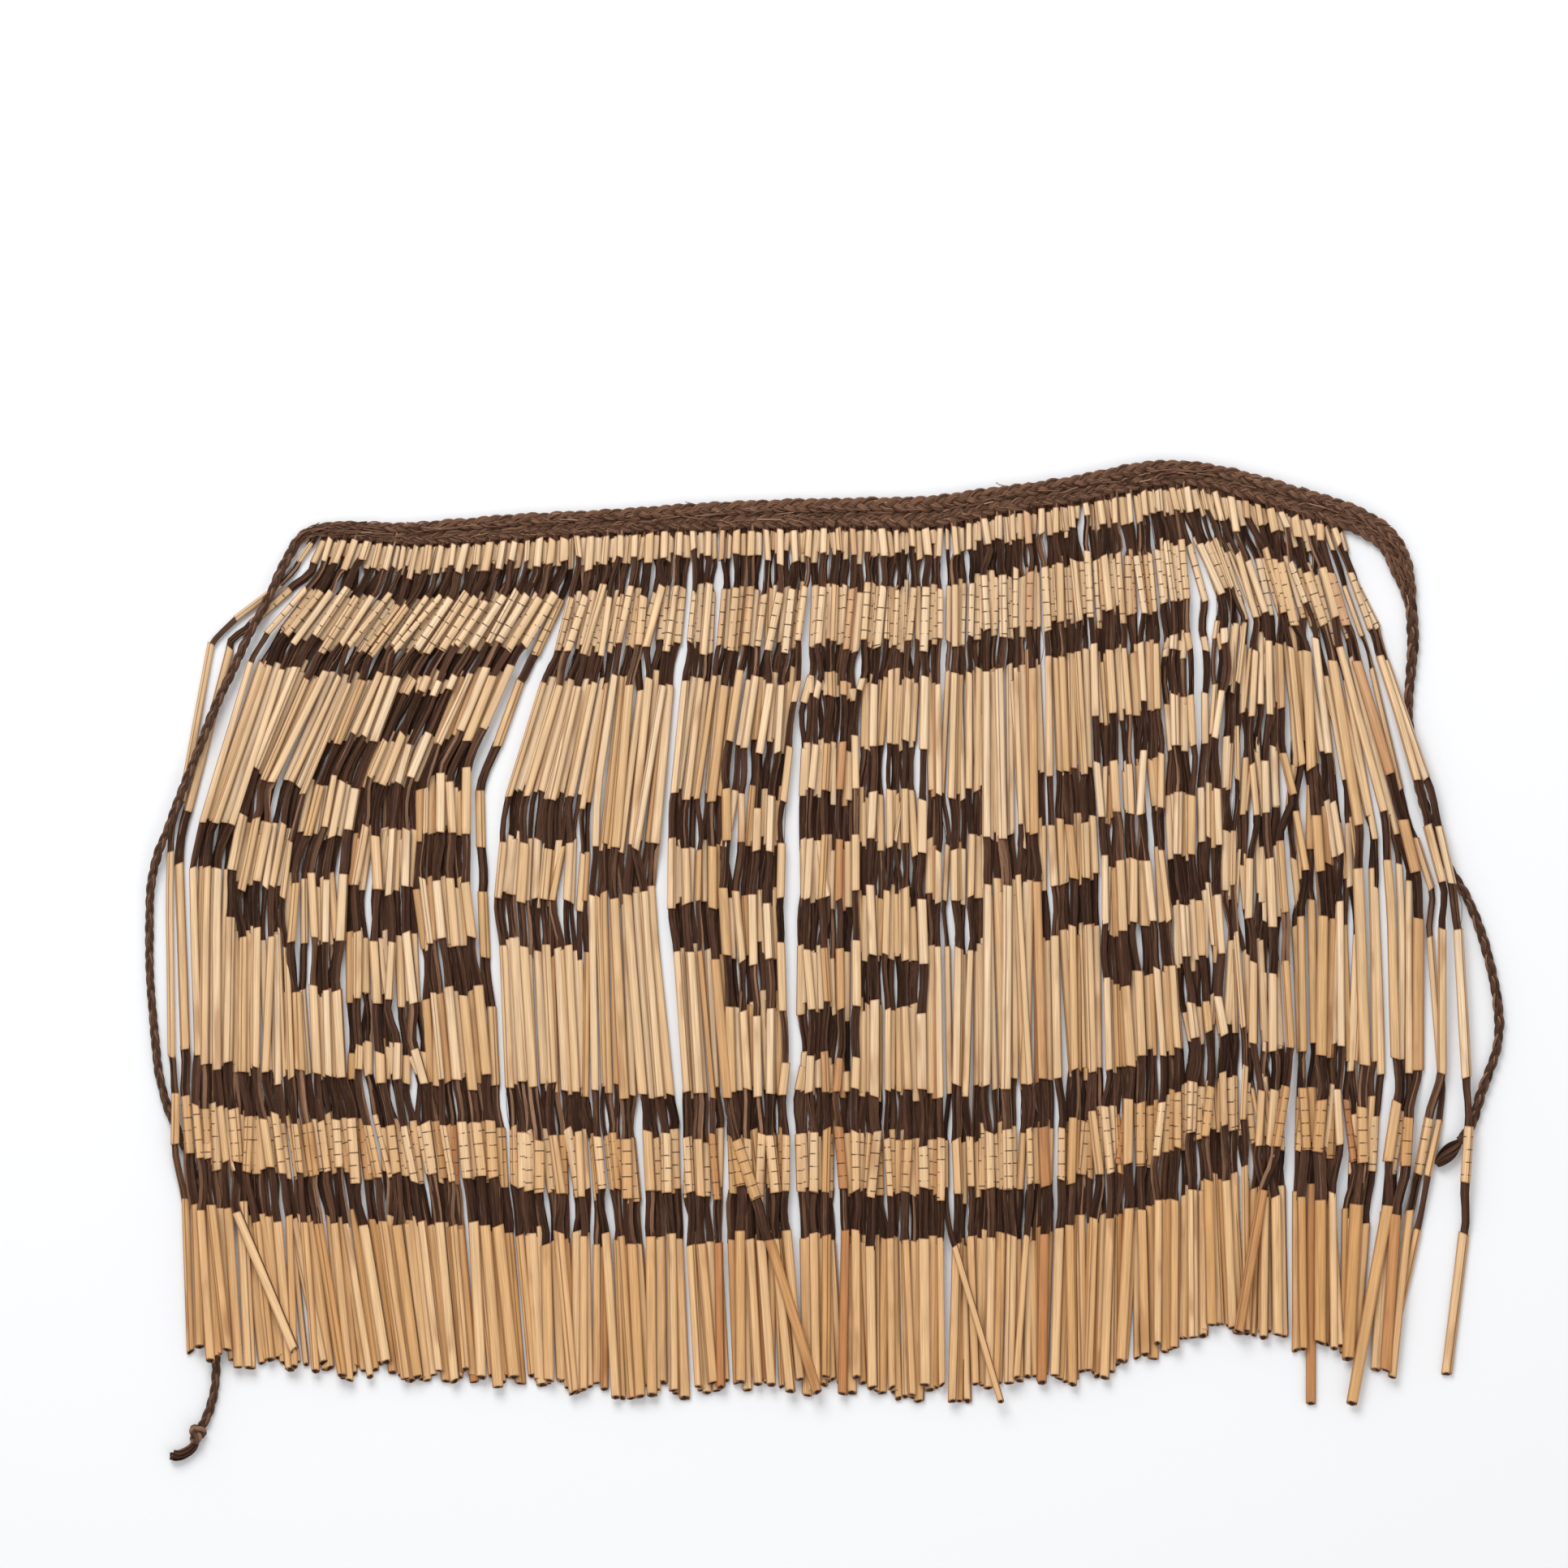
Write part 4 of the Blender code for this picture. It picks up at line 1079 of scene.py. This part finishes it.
def layStrands():
    line = headingLine()
    luck = random.Random(strandPlan["seed"])
    positions, shares = rootPositions()
    strands = [Strand(index, shares[index], atX(line, x), luck) for index, x in enumerate(positions)]
    partNeighbours(strands)
    length, wide, high = knotBelow["size"]
    reach = turned(knotBelow["turn"]) * length * mm / 3
    middle = place(*knotBelow["centre"])
    lying = [(wide * mm, (high + strandPlan["overKnot"]) * mm, [middle - reach, middle, middle + reach])]
    for route, tie in ((leftTieRoute, ties["left"]), (rightTieRoute, ties["right"])):
        diameter = tie["diameter"]
        points = laidOut(route, strandPlan["tieCheck"] * diameter)
        lying.append((diameter * mm, (diameter + strandPlan["overTie"]) * mm, points))
    settle(strands, lying)
    return strands


strands = layStrands()


# thinner strands that lie low in the widest slits

# partings: the strands at whose right a wide parting holds a strand as well
fill = dict(
    slit=0.0, hemSlit=-0.4, widest=5.2, rings=(1, 4, 6, 7, 8, 9, 10, 12), least=3, width=(4.2, 5.4),
    size=0.95, shorter=(-9.0, 3.0), middle=(0.4, 0.6), partings=(124,), seed=31)   # mm, shares


class Filler(Strand):
    def __init__(self, left, right, luck):
        mix = luck.uniform(*fill["middle"])
        self.index = left.index
        self.share = (left.share + right.share) / 2
        self.root = left.root.lerp(right.root, mix)
        self.width = luck.uniform(*fill["width"]) * mm
        self.stretch = (left.stretch + right.stretch) / 2
        self.length = (left.length + right.length) / 2 + luck.uniform(*fill["shorter"]) * mm
        self.raised = False
        self.distances = [row * mm * self.stretch for row in rings] + [self.length]
        self.plan = [low.lerp(high, mix) for low, high in zip(left.plan, right.plan)]
        self.lift = [min(pair) for pair in zip(left.lift, right.lift)]


def slitAt(left, right, ring):
    square = min(left.squareness(ring), right.squareness(ring))
    return (right.plan[ring].x - left.plan[ring].x) * square - (left.width + right.width) / 2


def fillSlits():
    luck = random.Random(fill["seed"])
    made = []
    for left, right in zip(strands[strandPlan["lowEdge"]:], strands[strandPlan["lowEdge"] + 1:]):
        odd = any(one.strayShift or one.index in longEnds for one in (left, right))
        slits = [slitAt(left, right, ring) for ring in fill["rings"]]
        wide = sum(slit > fill["slit"] * mm for slit in slits)
        needed = wide >= fill["least"] or slitAt(left, right, len(rings)) > fill["hemSlit"] * mm
        narrow = max(slits) < fill["widest"] * mm or left.index in fill["partings"]
        if needed and narrow and not odd:
            made.append(Filler(left, right, luck))
    return made


fillers = fillSlits()
print("strands laid out:", len(strands), "and", len(fillers), "in the slits")


# where each strand is rolled leaf and where it is scraped to bare, dyed fibre

darkBands = ((15.5, 35.0), (71.0, 91.0), (343.0, 369.0), (404.0, 431.5))   # dark stretches, mm from the root
scoredTubes = ((35.0, 71.0), (369.0, 404.0))   # tubes that may be scored across, mm from the root
scoredSlack = (6, 12)   # how far they may pass those limits above and below, mm
chart = dict(
    rowStarts={-3: 102.5, -2: 132.5, -1: 162.5, 0: 193.5, 1: 227.5, 2: 261.0, 3: 295.0}, dark=29.0,
    edges=(-276.2, -244.8, -213.4, -183.0, -148.5, -112.5, -76.5, -40.0, -4.0, 33.0, 71.8, 102.5, 131.5,
           165.0, 204.5, 232.0, 269.0, 296.0, 311.0),
    middle=9, columns=6, rings=(1, 3))   # mm
unrest = dict(
    common=1.9, right=6.0, rightFrom=0.84, rightOver=0.04, edge=2.1, row=1.9, steady=0.6, steadyFrom=300,
    steadyTo=30, topRaised=(-1.6, 0.2), topLow=(-0.6, 1.4), shortest=3.0)   # mm, how far the stretches slip


def rightward(strand):   # 0 to 1: how far the strand is in the tangled right part
    return smoothStep((strand.share - unrest["rightFrom"]) / unrest["rightOver"])


def chartRows(strand):   # the chart's dark rows on this strand: nested diamonds, six columns apart
    column = bisect.bisect_right(chart["edges"], strand.root.x / mm + layout["centreX"]) - chart["middle"]
    half = chart["columns"] // 2
    across = abs((column + half) % chart["columns"] - half)
    return [row for row in chart["rowStarts"] if abs(row) + across in chart["rings"]]


def stretchesOf(strand, luck):   # (start, end) of each tube, m
    shift = luck.gauss(0, unrest["common"] + (unrest["right"] - unrest["common"]) * rightward(strand))
    darks = []
    for start, end in darkBands:
        steady = start > unrest["steadyFrom"] or start < unrest["steadyTo"]
        slip = shift * (unrest["steady"] if steady else 1.0)
        top = start + luck.gauss(0, unrest["edge"]) + slip
        darks.append((top, end + luck.gauss(0, unrest["edge"]) + slip))
    for row in chartRows(strand):
        start = chart["rowStarts"][row] + shift + luck.gauss(0, unrest["row"])
        darks.append((start, start + chart["dark"] + luck.gauss(0, unrest["row"])))
    darks.sort()
    top = luck.uniform(*unrest["topRaised" if strand.raised else "topLow"])
    starts = [top] + [end * strand.stretch for _, end in darks]
    ends = [start * strand.stretch for start, _ in darks] + [strand.length / mm]
    return [(start * mm, max(end, start + unrest["shortest"]) * mm) for start, end in zip(starts, ends)]


# tubes of rolled leaf

tube = dict(
    rim=0.5, taper=4.0, longest=40.0, bentStep=20.0, straight=115.0, bendEvery=35.0, smooth=8.0, seed=7,
    scoredShare=0.75, firstScore=6.5, noScore=-4.5, scoreSlip=0.15, slant=0.55, hemSlant=0.5, tip=0.15,
    hemTip=1.3, tips=(0.5, 1.2), size=0.97, sizeSpread=0.12, tubeSpread=0.06, shadeSpread=0.05,
    smallest=0.6, largest=1.12, rootShare=0.9, hemShare=1.18, fullBy=430.0, waver=0.02, waverEvery=11.0,
    stagger=0.8, rightStagger=1.6, rootStagger=0.3, looseShare=0.08, looseSlip=(1.6, 4.2), looseRise=2.4,
    looseFrom=30.0, rootEnd=5.0, taperShare=0.3, fade=1.5)   # mm, shares
mouths = dict(root=0.8, rootRim=0.93, top=0.95, bottom=0.93, hem=0.97)   # share of the tube's width
leafKinds = ("wide", "high", "seam", "slant", "tip", "along", "chance", "cut", "score")


def grownAt(far):   # a leaf is wider towards the hem
    return tube["rootShare"] + (tube["hemShare"] - tube["rootShare"]) * min(far / (tube["fullBy"] * mm), 1)


def tubeMiddle(strand, start, end, luck):   # straight where it can be, else along the strand's bend
    halfway = strand.spot((start + end) / 2)
    ends = [strand.spot(start), strand.spot(end)]
    step = end - start
    if step > tube["straight"] * mm or abs(halfway.z - (ends[0].z + ends[1].z) / 2) > mm:
        step = tube["bendEvery"] * mm
    count = max(1, round((end - start) / step))
    spots = [strand.spot(start + (end - start) * index / count) for index in range(count + 1)]
    stagger = (tube["stagger"] + (tube["rightStagger"] - tube["stagger"]) * rightward(strand)) * mm
    held = tube["rootStagger"] if start < tube["rootEnd"] * mm else 1.0
    slips = [luck.gauss(0, stagger) * held, luck.gauss(0, stagger)]
    rise = 0.0
    if start > tube["looseFrom"] * mm and luck.random() < tube["looseShare"]:   # askew over its neighbours
        slips[1] += luck.choice((-1, 1)) * luck.uniform(*tube["looseSlip"]) * mm
        rise = tube["looseRise"] * mm
    for index, spot in enumerate(spots):
        spot.x += slips[0] * (1 - index / count) + slips[1] * index / count
        spot.z += rise * index / count
    return spots if count == 1 else smoothCurve(spots, tube["smooth"] * mm)


def tubeStops(length, bent):   # where along the tube its rings lie
    rim, taper = tube["rim"] * mm, min(tube["taper"] * mm, length * tube["taperShare"])
    longest = tube["bentStep" if bent else "longest"] * mm
    inner = max(1, math.ceil((length - 2 * taper) / longest))
    inside = [taper + (length - 2 * taper) * step / inner for step in range(inner + 1)]
    return rim, taper, [0.0, rim, *inside, length - rim, length]


def addTube(paths, strand, start, end, luck, look):
    middle = tubeMiddle(strand, start, end, luck)
    reached = measured(middle)
    length = reached[-1]
    rim, taper, stops = tubeStops(length, len(middle) > 2)
    first = start < tube["rootEnd"] * mm
    hem = end > strand.length - mm
    slants = (luck.gauss(0, tube["slant"]) * mm, luck.gauss(0, tube["hemSlant" if hem else "slant"]) * mm)
    tips = (0.0, luck.uniform(*tube["tips"]) * tube["hemTip" if hem else "tip"] * mm)
    shares = {0.0: mouths["root" if first else "top"], length: mouths["hem" if hem else "bottom"]}
    if first:
        shares[rim] = mouths["rootRim"]
    size = min(max(look["size"] + luck.gauss(0, tube["tubeSpread"]), tube["smallest"]), tube["largest"])
    chance = min(max(look["chance"] + luck.gauss(0, tube["shadeSpread"]), 0.0), 1.0)
    waver = luck.uniform(0, math.tau)
    line, rows = [], []
    for stop in stops:
        near = min(stop, length - stop)
        share = shares.get(stop, 1.0)
        side = 0 if stop < length / 2 else 1
        fade = max(0.0, 1 - near / max(taper, rim * tube["fade"])) if near > rim else 1.0
        uneven = 1 + tube["waver"] * math.sin(stop / (tube["waverEvery"] * mm) + waver)
        wide = strand.width / 2 * size * grownAt(start + stop) * share * uneven
        high = strandPlan["height"] / 2 * mm * min(size, 1.0) * share
        score = tube["noScore"]
        if look["scored"]:
            score = (stop / mm - tube["firstScore"]) / leafFinish["scorePitch"]
        line.append(along(middle, reached, stop))
        rows.append((wide, high, look["seam"], slants[side] * fade, tips[side] * fade, start + stop, chance,
                     near, score + look["scoreShift"]))
    paths.add(line, rows)
    topRun = (middle[1] - middle[0]).normalized()
    bottomRun = (middle[-1] - middle[-2]).normalized()
    return (middle[0], topRun), (middle[-1], bottomRun)


# bare stretches: flat fibres from one tube's mouth to the next

bare = dict(
    fibres=5, hairs=1, steps=4, lead=2.5, halfHigh=0.17, pinch=(0.06, 0.34), bow=0.35, lean=0.3, cling=0.6,
    clingEvery=(11.0, 23.0), clingTurn=1.7, own=0.25, hairOwn=1.0, wide=(0.66, 1.0), hairWide=0.16,
    hairHigh=0.1, inset=0.9, up=(-0.9, 1.0), deep=1.2, round=0.75, held=0.75, turn=0.35, twist=0.8,
    belly=0.15, looseTop=1.7, topEnd=30.0, corners=4)   # mm, shares, radians
roots = dict(
    fibres=4, steps=4, inside=2.5, reach=11.5, inset=0.8, height=4.2, uneven=0.3, wide=0.75, high=0.3,
    turn=0.3)   # mm, radians


def bridge(start, startRun, end, endRun, t):
    span = (end - start).length
    return ((2 * t**3 - 3 * t**2 + 1) * start + (t**3 - 2 * t**2 + t) * span * startRun
            + (3 * t**2 - 2 * t**3) * end + (t**3 - t**2) * span * endRun)


def addFibres(paths, strand, size, far, above, below, luck):
    lead = bare["lead"] * mm
    (start, startRun), (end, endRun) = above, below
    start, end = start - startRun * lead, end + endRun * lead   # from inside one tube to inside the next
    span = (end - start).length
    run = (end - start).normalized()
    side = Vector((-run.y, run.x, 0.0))
    pinch = luck.uniform(*bare["pinch"])
    loose = bare["looseTop"] if far < bare["topEnd"] * mm else 1.0   # the first row is slacker
    bow, lean = luck.gauss(0, bare["bow"] * loose) * mm, luck.gauss(0, bare["lean"] * loose)
    for number, every in enumerate(bare["clingEvery"]):   # neighbours draw together in twos and threes
        phase = math.tau * start.x / (every * mm) + far / mm * (bare["clingTurn"] + number)
        bow += bare["cling"] * mm * math.sin(phase)
    size *= grownAt(far)
    half = strand.width / 2 * size
    count = bare["fibres"]
    for fibre in range(count + bare["hairs"]):
        hair = fibre >= count
        across = luck.uniform(-1, 1) if hair else (fibre + 0.5) / count * 2 - 1
        own = luck.gauss(0, bare["hairOwn" if hair else "own"]) * mm
        depth = math.sqrt(1 - bare["round"] * across * across)
        up = luck.uniform(*bare["up"]) * bare["deep"] * mm * depth
        wide = (bare["hairWide"] if hair else luck.uniform(*bare["wide"]) * size) * mm
        high = bare["hairHigh" if hair else "halfHigh"] * mm
        turn, twist = luck.gauss(0, bare["turn"]), luck.gauss(0, bare["twist"])
        chance = luck.random()
        line, rows = [], []
        for step in range(bare["steps"] + 1):
            t = step / bare["steps"]
            swell = math.sin(math.pi * t)
            out = across * (half - bare["inset"] * mm) * (1 - pinch * swell**1.5)
            out += (bow + own) * swell + lean * mm * math.sin(math.tau * t)
            spot = bridge(start, startRun, end, endRun, t) + side * out
            spot.z += up * (bare["held"] + (1 - bare["held"]) * swell)
            line.append(spot)
            belly = 1 + bare["belly"] * swell
            rows.append((wide * belly, high, turn + twist * (t - 0.5), far + span * t, chance))
        paths.add(line, rows)


def addRoots(paths, strand, top, luck):   # fibres from the tube's top up into the waistband
    mouth, run = top
    side = Vector((-run.y, run.x, 0.0))
    half = strand.width / 2 - roots["inset"] * mm
    for fibre in range(roots["fibres"]):
        across = (fibre + 0.5) / roots["fibres"] * 2 - 1
        chance = luck.random()
        line, rows = [], []
        for step in range(roots["steps"] + 1):
            t = step / roots["steps"]
            back = (roots["inside"] - roots["reach"] * t) * mm
            spot = mouth + run * back + side * across * half
            spot.z = mouth.z + (roots["height"] * mm - mouth.z) * smoothStep(t)
            spot.z += luck.uniform(-roots["uneven"], roots["uneven"]) * mm
            line.append(spot)
            rows.append((roots["wide"] * mm, roots["high"] * mm, luck.gauss(0, roots["turn"]), back, chance))
        paths.add(line, rows)


def isScored(start, end):   # whether this tube lies in a row that is scored across
    above, below = scoredSlack
    return any(top - above < start / mm < bottom and end / mm < bottom + below for top, bottom in scoredTubes)


def makeFringes():
    size = strandPlan["count"] // strandPlan["groups"]
    luck = random.Random(tube["seed"])
    made = []
    for group in range(strandPlan["groups"]):
        leaves, fibres = Paths(*leafKinds), Paths(*ropeKinds)
        low = [filler for filler in fillers if filler.index // size == group]
        for strand in low + strands[group * size:(group + 1) * size]:
            stretches = stretchesOf(strand, luck)
            look = dict(chance=luck.random(), seam=luck.uniform(0, math.tau),
                        scoreShift=luck.uniform(-tube["scoreSlip"], tube["scoreSlip"]))
            thinner = fill["size"] if strand in low else 1.0
            look["size"] = luck.gauss(tube["size"], tube["sizeSpread"]) * thinner
            scored = luck.random() < tube["scoredShare"]
            above, aboveEnd = None, 0.0
            for start, end in stretches:
                look["scored"] = scored and isScored(start, end)
                top, bottom = addTube(leaves, strand, start, end, luck, look)
                if above is None:
                    addRoots(fibres, strand, top, luck)
                else:
                    addFibres(fibres, strand, look["size"], aboveEnd, above, top, luck)
                above, aboveEnd = bottom, end
        tubes = sweep(f"leafTubes{group + 1}", leaves, leafTree, leafSizes, leafMaterial)
        sizes = {"Corners": bare["corners"]}
        threads = sweep(f"dyedFibres{group + 1}", fibres, ropeTree, sizes, fibreMaterial)
        made += [fitted(piece, f"fringe_{group + 1}", "leaf_strand") for piece in (tubes, threads)]
    return made


fringes = makeFringes()
print("fringes made:", sum(len(piece.data.polygons) for piece in fringes), "faces")


# the core of the waistband, a flat woven strip inside the plait

core = dict(widthShare=0.78, thickness=0.9, every=3)   # share, mm, points


def makeCore():
    half = core["thickness"] * mm / 2
    vertices, faces = [], []
    flat = [point.to_3d() for point in bandLine[::core["every"]]]
    widths = [point[3] for point in bandLine[::core["every"]]]
    area = 0.0
    for index, (middle, width) in enumerate(zip(flat, widths)):
        across = sideways(flat, index) * width / 2 * core["widthShare"]
        height = Vector((0, 0, bandThickness(width) / 2))
        for side, up in ((-1, -half), (1, -half), (1, half), (-1, half)):
            vertices.append(middle + across * side + height + Vector((0, 0, up)))
        if index:
            area += (middle - flat[index - 1]).length * across.length * 2
            first, second = 4 * index - 4, 4 * index
            for corner, after in ((0, 1), (1, 2), (2, 3), (3, 0)):
                faces.append((first + corner, first + after, second + after, second + corner))
    faces += [(3, 2, 1, 0), tuple(range(len(vertices) - 4, len(vertices)))]
    mesh = bpy.data.meshes.new("waistbandCore")
    mesh.from_pydata(vertices, [], faces)
    mesh.materials.append(plaitMaterial)
    piece = fitted(shown("waistbandCore", mesh), "waistband", "plaited_fibre")
    length = measured(flat)[-1]
    widest = max(point[3] for point in bandLine) * core["widthShare"]
    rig.sheet(piece, flat=(widest, length), held="laid", area=area, with_pieces=[waistbandPlait, *fringes])


makeCore()
print("core made")


# floor and light

studio = dict(
    floor=(236, 237, 239), floorHalf=5.0, floorLow=-0.2, roughness=0.9, sky=0.67,
    key=dict(power=66.0, size=1.6, spot=(-0.7, 2.0, 2.2)),
    fill=dict(power=12.0, size=2.5, spot=(1.2, -2.0, 2.6)))   # m, watts; floorLow in mm


def makeFloor():
    half, low = studio["floorHalf"], studio["floorLow"] * mm
    corners = [(-half, -half, low), (half, -half, low), (half, half, low), (-half, half, low)]
    mesh = bpy.data.meshes.new("floor")
    mesh.from_pydata(corners, [], [(0, 1, 2, 3)])
    material, graph = newMaterial("pale floor")
    values = {"Base Color": srgb(*studio["floor"]), "Roughness": studio["roughness"]}
    shader = graph.add("ShaderNodeBsdfPrincipled", None, values)
    graph.add("ShaderNodeOutputMaterial", None, {"Surface": shader})
    mesh.materials.append(material)
    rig.stage(shown("floor", mesh))


def makeLights():
    world = bpy.data.worlds.new("studio")
    world.use_nodes = True
    world.node_tree.nodes["Background"].inputs["Color"].default_value = (1, 1, 1, 1)
    world.node_tree.nodes["Background"].inputs["Strength"].default_value = studio["sky"]
    bpy.context.scene.world = world
    for name in ("key", "fill"):
        lamp = studio[name]
        data = bpy.data.lights.new(name, "AREA")
        data.energy = lamp["power"]
        data.size = lamp["size"]
        light = shown(name, data)
        light.location = lamp["spot"]
        light.rotation_euler = (-Vector(lamp["spot"])).to_track_quat("-Z", "Y").to_euler()
    bpy.context.scene.view_settings.view_transform = "Standard"


makeFloor()
makeLights()
print("floor and lights made")

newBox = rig.bounds()
with open("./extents.json", "w") as sizes:
    json.dump([[list(corner) for corner in box] for box in (cadBox, newBox)], sizes)
